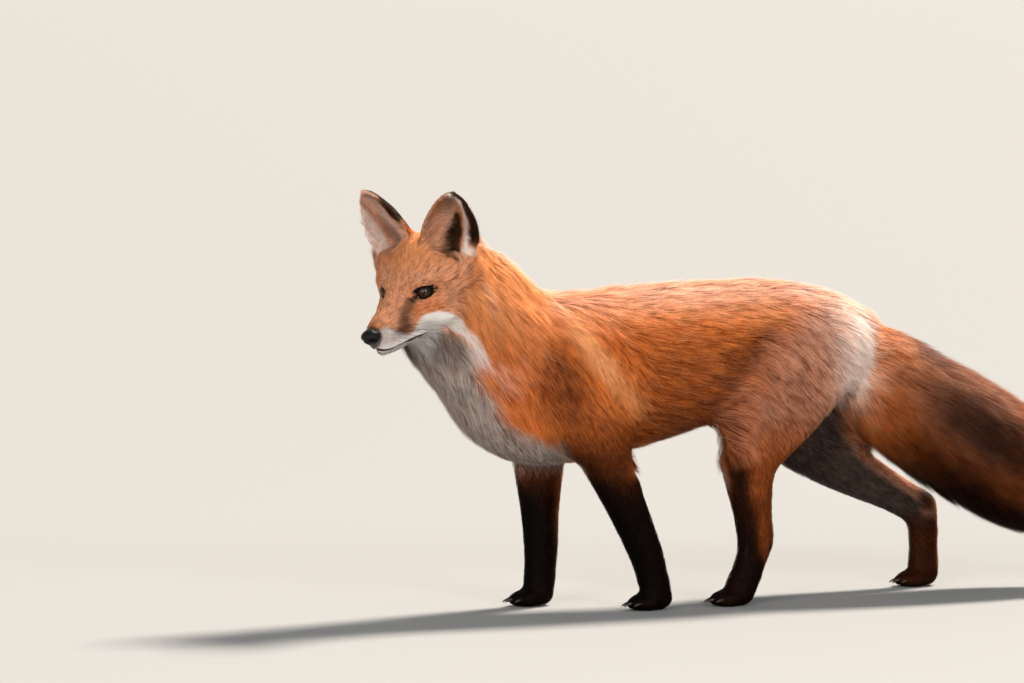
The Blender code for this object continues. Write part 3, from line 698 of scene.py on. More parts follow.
for y in (-0.07, 0.07):
    elbow = blob(points - FOX_ORIGIN, (-0.052, y, 0.167), (0.030, 0.050, 0.042), 1.0, 0.5)
    length, depth = no_more_than((0.0075, 0.0016), elbow)
length, depth = no_more_than((0.010, 0.0020), blob(points, RUFF_TIP, 1, 0.034, 0.018))
near_lips = step(np.abs(from_mouth(head_at) - 0.002), 0.0075, 0.003) * step(forward, -0.012, 0.0) * on_skull
length = length * (1 - 0.50 * near_lips)
depth = depth * (1 - 0.4 * near_lips)
print("trimmed; mean length", round(float(length.mean()) * 1000, 1), "mm")

# %% [markdown]
# ## Markings
# A red fox is not one red. The back and neck are bright orange, the flanks deepen to mahogany, partly as
# painted shade, rump and haunch are frosted with grey, the white throat and breast are painted grey as
# shade, cheek and lip are white, and legs, ear backs and the line from eye to muzzle are black. Each
# marking is a mask from 0 to 1 over the skin, made from the place on the body alone, so that skin and coat
# can read the same numbers. A mask is a product of soft steps, and painting with it only ever makes a
# marking stronger.

# %% Tools for the markings
X, Y, Z = (points - FOX_ORIGIN).T
outer = normals[:, 1] * np.sign(Y)
outward_abs = np.abs(outward)
part = {name: spread((names == name).astype(float), edges, 12) for name in FLESH}
WAVES = ((91, 60, 43, 0), (37, 45, -88, 2), (-140, 90, 75, 4), (60, -120, 170, 1))
wander = sum(np.sin(X * a + Z * c + Y * b + d) for a, b, c, d in WAVES) / len(WAVES)
pelt = {name: np.zeros(len(points)) for name in "white black grey frost deep gold dusk".split()}


def paint(name, *masks):
    """Raises a marking to the product of the masks, wherever it is weaker than that."""
    pelt[name] = np.maximum(pelt[name], math.prod(masks))


def of(wanted):
    """How much each point belongs to some of the body's parts; both:thigh is the left and the right one."""
    found = []
    for name in wanted.split():
        found += [side + name[5:] for side in ("left_", "right_")] if name.startswith("both:") else [name]
    return np.clip(sum(part[name] for name in found), 0, 1)


def along_line(x, *pairs):
    """Straight stretches between pairs of numbers."""
    line = sorted(pairs)
    return np.interp(x, [p[0] for p in line], [p[1] for p in line])


def band(value, centre, half):
    return step(np.abs(value - centre), half, half * 0.25)


on_head = of("head lower_jaw")
on_neck, on_chest = part["neck"], part["chest"]
face_and_neck = np.clip(on_head + on_neck, 0, 1)
on_tail = of("tail_root tail_brush tail_tip")
on_legs = np.clip(of("both:forearm both:fore_paw") + of("both:hind_paw both:shank"), 0, 1)
print("share of the skin on the head:", round(float(on_head.mean()), 3))

# %% [markdown]
# ## The white of the face
# White runs from the upper lip over the cheek and down the front of the ruff. Its upper edge is a line
# drawn along the head, and the ruff's front edge is a line drawn down the neck.

# %% Paint the white cheeks
cheek_top = along_line(
    forward, (0.075, -0.0200), (0.067, -0.0170), (0.061, -0.0185), (0.053, -0.0245), (0.042, -0.0330),
    (0.030, -0.0400), (0.0225, -0.0400), (0.0185, -0.034), (0.0145, -0.0280), (0.011, -0.0235),
    (0.004, -0.0225), (-0.006, -0.0255), (-0.016, -0.031), (-0.031, -0.045), (-0.041, -0.060),
    (-0.047, -0.076), (-0.048, -0.090), (-0.048, -0.115),
)
ruff_front = along_line(
    up, (-0.050, -0.018), (-0.060, -0.029), (-0.067, -0.034), (-0.076, -0.036), (-0.088, -0.031),
    (-0.102, -0.036), (-0.108, -0.050),
)
in_ruff = window(forward, -0.004, -0.022, ruff_front + 0.002, ruff_front - 0.004)
in_ruff *= step(outward_abs, 0.020, 0.030)
cheek = face_and_neck * step(up, cheek_top + 0.002, cheek_top - 0.003)
cheek *= np.where(up < -0.045, np.maximum(in_ruff, step(forward, -0.018, -0.008)), 1.0)
cheek *= np.where((forward < -0.018) & (up < -0.050), in_ruff, 1.0)
cheek *= 1 - 0.42 * step(forward, 0.030, 0.045) * step(up, -0.046, -0.036)
cheek *= 1 - 0.30 * step(forward, -0.002, -0.016) + 0.12 * step(forward, -0.030, -0.044)
cheek *= 1 - 0.45 * step(up, -0.080, -0.110)
# below the lips the white is painted weaker, a painted shade under the jaw
chin = step(from_mouth(head_at), 0.0, -0.003)
paint("white", cheek, 1 - chin * (0.58 - 0.30 * step(forward, 0.030, 0.012)))
brow = band(up, 0.0105 + 0.35 * (0.004 - forward), 0.0045) * (forward > -0.03)
paint("white", 0.10, on_head, brow, step(outward_abs, 0.014, 0.020), step(outward_abs, 0.044, 0.034))
pale_band = band(forward + 0.070 + 0.12 * (up + 0.030), 0.0, 0.010) * step(outward_abs, 0.045, 0.056)
paint("white", 0.20, on_neck, pale_band, step(up, -0.062, -0.035), step(up, 0.010, -0.010))
print("white of the face:", round(float(pelt["white"].mean()), 3))

# %% [markdown]
# ## The black of the face
# Black lids, lips and nose edge give a fox its expression. A dark smudge runs from the inner corner of the
# eye to the whisker pad, and is laid down as a row of soft spots. The pad itself is stippled where the
# whiskers leave it.

# %% Paint the eye rims, the dark mark and the lips
NOSE_TIP = (0.0755, 0, -0.0245)
EYE_TO_PAD = ((0.016, -0.0070), (0.0245, -0.0115), (0.0315, -0.0165), (0.0360, -0.0225), (0.0375, -0.0300))


def eye_rim(side):
    """The black skin around an eye."""
    local = into(eye_frame(side), points)
    rim = step(outside_lids(local, side, RIM_HALF), 1.14, 0.98)
    return rim * (local[:, 0] > -0.003) * (np.linalg.norm(local, axis=1) < 0.018)


def spot(place, reach, strength):
    """A soft dark spot on both sides of the face."""
    paint("black", strength, blob(np.stack([forward, outward_abs, up], axis=1), place, reach), on_head)


lid_rim = np.maximum(*(eye_rim(side) for side in SIDES))
paint("black", lid_rim)
spot((0.0125, 0.0192, -0.0050), (0.0075, 0.012, 0.0062), 0.85)
for share, (at_forward, at_up) in zip((0.0, 0.25, 0.5, 0.75, 1.0), EYE_TO_PAD):
    spot((at_forward, 0.0180, at_up), (0.0125 + 0.0065 * share, 0.013, 0.0105), 0.50 + 0.12 * share)
spot((0.046, 0.0160, -0.0275), (0.020, 0.013, 0.0085), 0.46)
spot((-0.026, 0.048, -0.016), (0.020, 0.020, 0.011), 0.28)
# a thin painted shadow along the crease above the lips
lip_crease_shade = up - along_line(
    forward, (0.040, -0.0330), (0.033, -0.0345), (0.0205, -0.0385), (0.007, -0.0430), (-0.001, -0.0455),
    (-0.016, -0.0500), (-0.024, -0.0560),
)
lip_crease_shade = step(np.abs(lip_crease_shade), 0.0014, 0.0005) * window(forward, -0.026, -0.018, 0.042, 0.034)
paint("black", 0.55, lip_crease_shade, on_head)
whisker_rows = step(np.sin(forward * 1500 + up * 500) * np.sin(up * 1900 - forward * 300), 0.10, 0.75)
on_pad = on_head * window(forward, 0.018, 0.030, 0.072, 0.064)
on_pad *= step(from_mouth(head_at), 0.002, 0.006) * step(up, cheek_top + 0.002, cheek_top - 0.002)
paint("black", on_pad, 0.13 + 0.20 * whisker_rows + 0.12 * step(up, cheek_top - 0.010, cheek_top))
lip_line = 0.0016 + 0.0010 * step(forward, 0.034, 0.016)
lips = step(np.abs(from_mouth(head_at)), lip_line + 0.0007, lip_line - 0.0006)
lips *= window(forward, -0.006, 0.001, 0.080, 0.074) * on_head
paint("black", lips)
paint("black", 0.75, on_head, blob(head_at, NOSE_TIP, 1, 0.0155, 0.0130))
paint("black", 0.5, on_head, step(outward_abs, 0.0016, 0.0006), forward > 0.066, up < -0.03)
# painted shade under the ruff, where it overhangs the throat
shade_under_ruff = face_and_neck * window(up, -0.046, -0.056, -0.095, -0.075)
shade_under_ruff *= window(forward, ruff_front - 0.002, ruff_front + 0.006, 0.010, -0.008)
paint("black", 0.34, shade_under_ruff)
print("black of the face:", round(float(pelt["black"].mean()), 3))

# %% [markdown]
# ## Legs
# The fore legs are black to the elbow. On the hind legs the black is a stripe down the front that widens at
# the heel, and in this pose the far leg shows its grey inner side and an orange back edge.

# %% Paint the legs
# painted shade in the fold where the near flank meets the thigh
fold = along_line(Z, (0.343, 0.118), (0.325, 0.098), (0.295, 0.074), (0.271, 0.054), (0.253, 0.045))
paint("black", 0.32, of("trunk rump left_thigh"), Y < 0, band(X, fold, 0.016), step(Z, 0.345, 0.30))
paint("black", 0.26, of("both:upper_arm"), step(Z, 0.250, 0.205))
fore_top = np.where(Y < 0, 0.245, 0.225)
fore_dark = 0.42 + 0.50 * step(Z, np.where(Y < 0, 0.225, 0.19), 0.11)
fore_dark = step(Z, fore_top, fore_top - 0.055) * fore_dark + 0.12 * step(normals[:, 0], 0.0, -0.7)
fore_dark *= 1 - 0.45 * (Y > 0) * step(normals[:, 0], 0.1, 0.6) * step(Z, 0.06, 0.12)
on_fore_leg = of("both:forearm both:upper_arm both:fore_paw")
paint("black", on_fore_leg, fore_dark, step(Z, fore_top + 0.010, fore_top - 0.020))

near_leg = of("left_shank left_hind_paw left_thigh rump") * (Y < 0)
dark_from = along_line(
    Z, (0.235, 0.040), (0.217, 0.056), (0.192, 0.060), (0.158, 0.069), (0.125, 0.074), (0.087, 0.070),
    (0.0, -0.02),
)
dark_to = along_line(
    Z, (0.235, 0.052), (0.217, 0.066), (0.192, 0.080), (0.158, 0.089), (0.125, 0.098), (0.087, 0.107),
    (0.050, 0.116), (0.0, 0.12),
)
stripe = step(X + 0.005 * wander, dark_to + 0.014, dark_to - 0.012) * (X < 0.16)
stripe *= step(X, dark_from - 0.004, dark_from + 0.004)
stripe *= step(Z, 0.262, 0.195) * (0.78 + 0.08 * step(Z, 0.13, 0.08))
paint("black", near_leg, stripe)
heel = step(np.hypot(X - 0.125, (Z - 0.070) * 0.5), 0.016, 0.004)
paint("black", near_leg, np.maximum(0.7 * heel, 0.55 * step(Z, 0.060, 0.030)))
paint("black", near_leg, 0.16 * step(Z, 0.28, 0.22) + 0.20 * step(Z, 0.20, 0.12), X < 0.16)
front_fringe = near_leg * step(X, dark_from + 0.003, dark_from - 0.005) * (normals[:, 0] < -0.3)
front_fringe *= window(Z, 0.075, 0.105, 0.275, 0.235)

far_leg = of("right_shank right_hind_paw right_thigh rump") * step(Y, 0.004, 0.016) * step(Z, 0.262, 0.235)
top_of_leg = along_line(X, (0.240, 0.235), (0.297, 0.167), (0.352, 0.132), (0.385, 0.112), (0.40, 0.05))
far_orange = window(Z, top_of_leg - 0.008, top_of_leg + 0.006, 0.085, 0.105) * step(X, 0.245, 0.275)
far_orange = np.maximum(far_orange, step(normals[:, 0], 0.35, 0.75) * step(Z, 0.13, 0.10) * 0.7)
hock = step(np.hypot(X - 0.398, Z - 0.112), 0.024, 0.008)
far_dark = (0.66 + 0.06 * step(Z, 0.12, 0.07)) * (1 - 0.90 * far_orange)
far_dark *= np.maximum(step(outer, 0.45, 0.0), step(Z, 0.17, 0.12))
paint("black", far_leg, np.maximum(0.70 * hock, far_dark))
paint("black", 0.75, of("right_hind_paw right_shank"), step(Z, 0.045, 0.02))
far_fringe = far_leg * step(normals[:, 0] * 0.6 - normals[:, 2], 0.35, 0.75) * (X < 0.375)
fringes = np.maximum(front_fringe, far_fringe)
paint("black", 0.5, step(outer, 0.0, -0.6), of("left_thigh left_shank"), Y < -0.012)
print("black down to the feet:", round(float(pelt["black"].mean()), 3))

# %% [markdown]
# ## Tail
# The tail is red with black-tipped hair and is painted near black below, a painted shade, with a dark patch
# over the scent gland near its root and a clean white tip. Its middle line is given as a few places with the
# tail's half height at each.

# %% Paint the tail
TAIL_LINE = np.array((
    (0.262, 0.332, 0.04), (0.296, 0.284, 0.06), (0.345, 0.240, 0.072), (0.400, 0.205, 0.077),
    (0.455, 0.172, 0.077), (0.510, 0.142, 0.073), (0.560, 0.121, 0.06), (0.604, 0.110, 0.038),
    (0.65, 0.105, 0.02),
))  # along, height of the middle, half height
middle, half_height = (np.interp(X, TAIL_LINE[:, 0], TAIL_LINE[:, k]) for k in (1, 2))
tail_height = (Z - middle) * 0.85 / half_height
gland = step(np.hypot(X - 0.352, (Z - 0.300) * 0.8), 0.034, 0.008) * (Z > 0.24)
# black-tipped all over, and painted darker below as painted shade
tail_dark = 0.41 + 0.38 * step(tail_height, -0.20, -0.70)
tail_dark += 0.30 * band(tail_height, 0.1, 0.5) * window(X, 0.31, 0.36, 0.50, 0.44)
tail_dark *= step(X, 0.262, 0.33) * (0.7 + 0.3 * step(X, 0.30, 0.40))
tail_dark = np.maximum(tail_dark, 0.60 * gland) * step(X, 0.545, 0.515)
paint("black", on_tail, tail_dark)
paint("white", of("tail_tip tail_brush"), step(X + 0.010 * wander, 0.528, 0.556))
print("white tip from", round(float(X[pelt["white"] * on_tail > 0.5].min()), 3), "m behind the fox's origin")

# %% [markdown]
# ## Ears
# An ear is black behind, with a black line round its outer edge. Inside, pale hair edges a hollow that is
# painted dark, a painted shade, and painted shade darkens the lining down its middle and near the tip. The
# near ear is turned to the viewer and shows its hollow, and the far one mostly its pale inner fringe.

# %% Paint the ears
# pairs of height and distance from the middle: where the black edge of the left ear begins, and how wide
# half the painted shade in the hollow of an ear is
EDGE_LINE = (
    (0.030, 0.0242), (0.045, 0.0250), (0.058, 0.0222), (0.068, 0.0178), (0.078, 0.0122), (0.0865, 0.0052),
    (0.092, -0.002),
)
HOLLOW_SHADE_HALF = (
    (-0.02, 0.010), (0.008, 0.011), (0.026, 0.0135), (0.042, 0.0095), (0.058, 0.0052), (0.066, 0.0015),
)


def either(side, left, right):
    return left if side == LEFT else right


for side, ear in ears.items():
    back = step(ear.facing, 0.30, -0.05) * step(ear.up + 0.4 * np.abs(ear.edge), 0.026, 0.050)
    paint("black", ear.mine, back, 1 - 0.70 * ear.rim * (ear.edge < 0))
    pelt["black"][ear.inside > 0.3] = 0
    pelt["white"][ear.inside > 0.3] = 0
    half = along_line(ear.up, *HOLLOW_SHADE_HALF)
    lean = (0.034 - ear.up) * np.where(ear.up < 0.034, 0.24, 0.10)
    # the hollow is painted dark, a painted shade in the recess
    hollow_shade = step(np.abs(ear.edge - 0.0045 + lean), half + 0.0035, half - 0.0045)
    hollow_shade *= either(side, 0.80, 0.40) * ear.inside * step(ear.up, 0.068, 0.054)
    upper = step(ear.up, 0.050, 0.070) * step(np.abs(ear.edge - 0.006), 0.020, 0.008)
    middle = either(side, 0.16, 0.26) * band(ear.edge, -0.004, 0.010)
    shade = np.maximum(middle, either(side, 0.24, 0.10) * upper)
    paint("black", ear.inside, np.maximum(hollow_shade, shade))
    if side == LEFT:
        edge_at = along_line(ear.up, *EDGE_LINE)
        fringe = 0.46 * step(ear.edge, edge_at - 0.008, edge_at - 0.003)
        margin = step(ear.edge, edge_at - 0.001, edge_at + 0.001) * step(ear.up, 0.012, 0.026)
        margin *= step(ear.up, 0.098, 0.094)
    else:
        fringe = 0.20 * step(ear.edge, 0.016, 0.021)
        margin = step(ear.edge, -0.0165, -0.0195) * window(ear.up, 0.036, 0.046, 0.092, 0.084)
    margin *= np.maximum(ear.inside, ear.mine)
    paint("black", 0.80, margin)
    pale = either(side, 0.16, 0.27) + 0.12 * band(ear.edge, -0.004, 0.012) + fringe
    paint("white", ear.inside, pale, 1 - hollow_shade, 1 - margin, step(ear.up, -0.004, 0.014))
    rim = ear.rim * step(ear.facing, -0.5, 0.0)
    outer_rim = (ear.edge > 0) * window(ear.up, 0.082, 0.070, 0.020, 0.034)
    paint("white", either(side, 0.25, 0.9), rim, outer_rim)
    paint("white", 0.35, rim, ear.edge < 0, step(ear.up, 0.026, 0.040))
in_ears = np.maximum(*(ear.inside for ear in ears.values()))
ear_front_edge = np.maximum(*(ear.inside * step(ear.edge, -0.008, -0.020) for ear in ears.values()))
ear_foot = np.maximum(*(ear.mine * step(ear.up, 0.024, 0.012) for ear in ears.values()))
behind_ears = np.maximum(*(ear.behind for ear in ears.values()))
print("black and white with the ears:", *(round(float(pelt[name].mean()), 3) for name in ("black", "white")))

# %% [markdown]
# ## Throat and breast painted grey as shade, frosted haunch
# The white bib is painted grey between the ruff and the forelegs, with a wandering edge, as painted shade
# under the head, and so are the chin, the throat below the cheek and the breast between the forelegs. Over
# the haunch the tips of the hairs are pale, which reads as frost, and the hind edge of the rump is cream.
# The top of the back is frosted, and where it faces up it is painted paler, a painted highlight.

# %% Paint the grey, the frost and the cream
bib_edge = along_line(
    Z, (0.365, -0.42), (0.350, -0.308), (0.331, -0.274), (0.316, -0.280), (0.308, -0.275), (0.292, -0.261),
    (0.279, -0.247), (0.261, -0.241), (0.242, -0.229), (0.232, -0.205), (0.221, -0.174), (0.201, -0.150),
    (0.18, -0.13),
)
# the white bib, chin, throat below the cheek and breast between the forelegs, painted grey as painted shade
bib = of("neck chest lower_jaw head both:upper_arm") * np.maximum(1 - on_head, step(up, -0.048, -0.062))
paint("grey", bib, step(X + 0.006 * wander, bib_edge + 0.007, bib_edge - 0.007))
paint("grey", 0.75, chin, on_head, step(forward, -0.005, 0.020))
shade_below_cheek = window(up, -0.048, -0.058, -0.108, -0.092) * step(forward, 0.010, -0.008)
paint("grey", face_and_neck, shade_below_cheek, step(forward, ruff_front - 0.004, ruff_front + 0.003))
paint("grey", on_chest, step(Z, 0.222, 0.205), X < -0.10, step(outer, 0.4, -0.2))
far_grey = step(outer, 0.5, 0.0) * (1 - far_orange) * step(Z, 0.07, 0.11)
paint("grey", 0.75, far_leg, far_grey)

haunch_edge = along_line(
    Z, (0.42, 0.170), (0.343, 0.128), (0.325, 0.108), (0.295, 0.085), (0.271, 0.066), (0.253, 0.055),
    (0.20, 0.045),
)
haunch = step(X + 0.016 * wander, haunch_edge - 0.026, haunch_edge + 0.060) * step(X, 0.30, 0.26)
haunch *= 0.46 + 0.34 * step(Z, 0.28, 0.34) + 0.20 * step(X, 0.150, 0.225)
haunch *= 1 - 0.75 * of("both:thigh rump") * step(Z, 0.250, 0.190)
paint("frost", of("rump trunk both:thigh"), haunch)
paint("frost", 0.40, of("trunk rump"), step(Z, 0.345, 0.375))
paint("frost", 0.25, part["tail_root"], step(tail_height, -0.5, 0.0))
paint("frost", 0.65, step(outer, 0.1, -0.5), of("both:thigh both:shank"), step(Z, 0.07, 0.11))
paint("frost", 0.9, fringes)
cream_edge = of("rump both:thigh tail_root") * window(X, 0.172, 0.240, 0.285, 0.262)
cream_edge *= step(Z, 0.215, 0.275)
pelt["frost"] *= 1 - 0.55 * cream_edge
paint("white", 0.46 - 0.20 * step(normals[:, 2], 0.50, 0.95), cream_edge)
# where the neck and back face up they are painted paler, a painted highlight
paint("white", 0.20, of("neck chest trunk rump"), step(normals[:, 2], 0.45, 0.92), step(Z, 0.30, 0.34))
paint("white", 0.40, fringes)
print("mean of grey and frost:", *(round(float(pelt[name].mean()), 3) for name in ("grey", "frost")))

# %% [markdown]
# ## Deep red, gold and the duller red of the face
# The shoulder and the flank are a deeper red. Lower down the flank the red is painted deeper still, a
# painted shade, and so is the crease before the haunch. A gold band crosses the shoulder, and the neck and
# the front edges of the ears are gold too. The top of the head and the top of the tail near its root are
# painted gold, a painted light from above. Dusk is the speckled brown-red of a fox's face.

# %% Paint the reds
# painted shade in the crease before the haunch
haunch_crease_shade = 1.4 * band(X + 0.006 * wander, haunch_edge - 0.014, 0.030)
haunch_crease_shade *= window(Z, 0.36, 0.32, 0.215, 0.25)
shoulder = step(np.hypot(X + 0.165 - 0.3 * (0.285 - Z), (Z - 0.280) / 1.8), 0.052, 0.008)
mid_flank = 0.62 * step(Z, 0.345, 0.300) * step(X, -0.08, -0.02)
# the lower flank painted deeper, a painted shade
lower_flank_shade = 0.4 * step(Z, 0.295, 0.235) * step(X, -0.12, -0.06)
sides = of("trunk chest rump both:upper_arm") * (haunch_crease_shade + shoulder + mid_flank + lower_flank_shade)
paint("deep", np.clip(sides, 0, 1))
paint("deep", 0.60, of("both:thigh rump"), step(Z, 0.35, 0.27), 1 - cream_edge)
paint("deep", 0.75, of("both:upper_arm"), step(Z, 0.27, 0.22))
paint("deep", 0.7, on_legs, 1 - 0.6 * far_leg * far_orange)
# deeper red all along, and deeper still below as painted shade
paint("deep", on_tail, step(X, 0.26, 0.34), 0.42 + 0.45 * step(tail_height, 0.5, -0.1))
paint("deep", 0.9, on_tail, gland)

shoulder_band = band(X + 0.004 * wander, -0.139 + (0.343 - Z) * 0.81, 0.028) * step(Z, 0.225, 0.31)
paint("gold", np.where(Y < 0, 1.0, 0.3), of("trunk chest both:upper_arm"), shoulder_band)
paint("gold", 0.45, of("trunk chest"), step(Z, 0.330, 0.365))
paint("gold", on_neck, 0.10 + 0.55 * step(Z, 0.31, 0.39))
paint("gold", 0.55, on_head, step(forward, -0.030, -0.060))
paint("gold", 0.80, cream_edge)
paint("gold", 0.9, behind_ears)
# the top of the head is painted gold, a painted light from above
paint("gold", 0.70, on_head, step(up, 0.012, 0.034), 1 - in_ears)
paint("gold", 0.80, on_head, step(up, 0.022, 0.045), 1 - in_ears)
paint("gold", 0.35 * in_ears + 0.25 * ear_front_edge)
bridge = step(outward_abs, 0.013, 0.008) * step(forward, 0.012, 0.030) * step(up, -0.026, -0.014)
paint("gold", 0.40, on_head, bridge)
# the top of the tail near its root is painted gold, a painted light from above
paint("gold", 0.30, on_tail, step(X, 0.33, 0.27), step(tail_height, -0.4, 0.2))

below_eye = band(up, -0.017, 0.012) * window(forward, 0.030, 0.015, -0.020, -0.005)
below_eye *= step(outward_abs, 0.015, 0.022)
dull = step(forward, -0.075, -0.050) * (1 - 0.78 * step(up, 0.014, 0.036)) * (1 - 0.55 * below_eye)
paint("dusk", on_head, dull)
paint("dusk", 0.80, in_ears)
paint("dusk", 0.8, ear_foot)

marks = np.clip(np.stack([pelt[name] for name in ("white", "black", "grey", "frost")], axis=1), 0, 1)
tones = np.clip(np.stack([pelt["deep"], pelt["gold"], pelt["dusk"], on_tail], axis=1), 0, 1)
print("mean of each marking:", marks.mean(axis=0).round(3), tones.mean(axis=0).round(3))

# %% [markdown]
# ## The skin as a finished mesh
# The skin is unwrapped, and carries the masks as two colour attributes of four numbers each. A third one,
# the strand, tells a hair's points apart and is the same all over the skin. The unwrap is needed twice:
# each hair is given a small patch of it at its root, so that a baked picture of the coat stays in order.

# %% Colour attributes and the unwrap
def colour_attribute(mesh, name, values):
    """Four numbers at each vertex."""
    layer = mesh.attributes.new(name, "FLOAT_COLOR", "POINT")
    layer.data.foreach_set("color", np.ascontiguousarray(values, dtype=np.float32).ravel())


def all_smooth(mesh):
    mesh.polygons.foreach_set("use_smooth", np.ones(len(mesh.polygons), bool))


colour_attribute(body, "marks", marks)
colour_attribute(body, "tones", tones)
colour_attribute(body, "strand", np.tile((0.35, 0.5, 0.5, 0.0), (len(points), 1)))
all_smooth(body)


def unwrap(obj):
    bpy.context.view_layer.objects.active = obj
    obj.select_set(True)
    obj.data.uv_layers.new(name="OFBake")
    bpy.ops.object.mode_set(mode="EDIT")
    bpy.ops.mesh.select_all(action="SELECT")
    bpy.ops.uv.smart_project(angle_limit=math.radians(66), island_margin=0.004)
    bpy.ops.object.mode_set(mode="OBJECT")
    obj.select_set(False)


unwrap(skin)
print("skin:", len(body.polygons), "triangles")

# %% [markdown]
# ## Growing the hairs
# A hair here is a ribbon of three triangles that ends in a point. It starts at a random place
# on the skin and walks over it in the way the coat lies, rising as it goes, so that it follows a leg or a
# ruff instead of shooting off along a straight line. Hairs near each other lean to a common tip, which
# makes the locks of a real coat.

# %% Plant the roots
tris = np.empty(len(body.polygons) * 3, int)
body.polygons.foreach_get("vertices", tris)
tris = tris.reshape(-1, 3)
uvs = np.empty(len(body.loops) * 2)
body.uv_layers["OFBake"].data.foreach_get("uv", uvs)
uvs = uvs.reshape(-1, 3, 2)
corners = points[tris]
areas = 0.5 * np.linalg.norm(np.cross(corners[:, 1] - corners[:, 0], corners[:, 2] - corners[:, 0]), axis=1)
print("skin area:", round(float(areas.sum()), 4), "m2")

BASE_DENSITY = 540000  # hairs to the square metre where the table says 1
bare = lips * 0.9
for side in SIDES:
    local = into(eye_frame(side), points)
    at_lids = (outside_lids(local, side, RIM_HALF) < 1.0) * (local[:, 0] > -0.002)
    bare = np.maximum(bare, at_lids * (np.linalg.norm(local, axis=1) < 0.0172))
bare = np.maximum(bare, blob(head_at, NOSE_TIP, 1, 0.0125, 0.0115))
bare = np.maximum(bare, step(Z, 0.0035, 0.0015))
planting = density * (1 - bare)


def plant():
    wanted = areas * planting[tris].mean(axis=1) * BASE_DENSITY
    count = np.floor(wanted + rng.random(len(wanted))).astype(int)
    face = np.repeat(np.arange(len(tris)), count)
    a, b = rng.random((2, len(face)))
    flip = a + b > 1
    a[flip], b[flip] = 1 - a[flip], 1 - b[flip]
    return face, np.stack([1 - a - b, a, b], axis=1)


root_face, root_weights = plant()


def at_roots(values):
    picked = values[tris[root_face]]
    w = root_weights.reshape(len(root_face), 3, *([1] * (picked.ndim - 2)))
    return (picked * w).sum(axis=1)


root = at_roots(points)
root_uv = (uvs[root_face] * root_weights[:, :, None]).sum(axis=1)
hairs = len(root)
print("hairs:", hairs)

# %% Gather them into locks
LOCK_SPACING = 0.20  # of the hair's length
TAIL_END = 0.644  # how far behind the fox's origin the last hair may reach
TAIL_AXIS = np.array((0.985, -0.05, -0.10))  # the way that the last hairs point
hair_length = at_roots(length)
hair_depth = at_roots(depth)
hair_width = at_roots(width)
hair_marks = at_roots(marks)
hair_tones = at_roots(tones)
hair_node = owner[tris[root_face][:, 0]]
hair_free = at_roots(part["tail_tip"] * step(X, 0.555, 0.615))
hair_room = np.maximum(0.010, FOX_ORIGIN[0] + TAIL_END - root[:, 0])
hair_length = np.where(hair_free > 0.02, np.minimum(hair_length, hair_room), hair_length)
chance = 1.0 / np.maximum(3.0, (hair_length * LOCK_SPACING) ** 2 * BASE_DENSITY * at_roots(density))
leaders = np.flatnonzero(rng.random(hairs) < chance)
leader_tree = tree_of(root[leaders])
lock = nearest(leader_tree, root)
lock_random = rng.random((len(leaders), 4))[lock]
hair_random = rng.random((hairs, 4))
print("locks:", len(leaders))

# %% Walk each hair over the skin
STATIONS = (0.0, 0.48, 1.0)  # where a hair has its points, from root to tip
GATHER = (0.0, 0.22, 0.48)  # how far each of them leans to the lock's first hair
skin_tree = tree_of(points)


def rotate_about(v, axis, angle):
    c, s = np.cos(angle)[:, None], np.sin(angle)[:, None]
    return v * c + np.cross(axis, v) * s + axis * (np.sum(axis * v, axis=1, keepdims=True) * (1 - c))


def walk():
    """Places along each hair, with the skin's normal under them."""
    ground = root.copy()
    near = tris[root_face][:, 0]
    sway = (lock_random[:, 0] - 0.5) * 0.30 + (hair_random[:, 0] - 0.5) * 0.30
    reach = hair_length * (0.80 + 0.20 * lock_random[:, 1] + 0.30 * hair_random[:, 1])
    stray = (hair_random[:, 2] * 7.31 % 1.0) ** 6
    rise = hair_depth * (0.70 + 0.28 * lock_random[:, 2] + 0.30 * hair_random[:, 2] + 0.35 * stray)
    places, ups, ways = [], [], []
    free = hair_free[:, None]
    for here, before in zip(STATIONS, (0.0,) + STATIONS[:-1]):
        way = rotate_about(unit(lie[near]), unit(normals[near]), sway * (0.6 + 0.8 * here))
        way = unit(way + 0.85 * free * (TAIL_AXIS - way))
        ground = ground + way * (reach * (here - before))[:, None]
        if here > 0:
            found = nearest(skin_tree, ground)
            near = np.where(np.sum(normals[found] * normals[near], axis=1) > 0.1, found, near)
        base, n = points[near], unit(normals[near])
        ground = ground - (1 - free) * n * np.sum((ground - base) * n, axis=1, keepdims=True)
        height = rise * (1 - 0.75 * hair_free) * (1 - (1 - here) ** 1.9)
        places.append(ground + n * height[:, None])
        ups.append(n)
        ways.append(way)
    return places, ups, ways


places, ups, ways = walk()
for k, share in enumerate(GATHER):
    lead = places[k][leaders][lock]
    gather = share * (0.35 + 0.65 * lock_random[:, 3])
    away = np.linalg.norm(lead - places[k], axis=1)
    gather = np.minimum(gather, share * hair_length * 0.5 / np.maximum(away, 1e-6))
    places[k] = places[k] + (lead - places[k]) * gather[:, None]
seen = nearest(skin_tree, places[1])
hair_marks = 0.35 * hair_marks + 0.65 * marks[seen]
hair_marks[:, 1] *= 1 - 0.8 * at_roots(lid_rim)  # the skin around an eye is black, and its hairs less so
hair_tones = 0.35 * hair_tones + 0.65 * tones[seen]
for place in places:
    place[:, 2] = np.maximum(place[:, 2], 0.0004)
print("hairs walked")

# %% Turn the hairs into ribbons
PIECES = {
    "coat_head": "head lower_jaw left_ear right_ear",
    "coat_neck": "neck",
    "coat_chest": "chest left_upper_arm right_upper_arm",
    "coat_trunk": "trunk",
    "coat_rump": "rump left_thigh right_thigh",
    "coat_legs": "left_forearm right_forearm left_shank right_shank "
    "left_fore_paw right_fore_paw left_hind_paw right_hind_paw",
    "coat_tail": "tail_root tail_brush tail_tip",
}
TAPER = (0.75, 1.0, 0.0)  # a hair's width at each of its points
PIECE_TRIANGLES = 195000  # most for one piece
PATCH = 0.003  # each hair's share of the unwrap


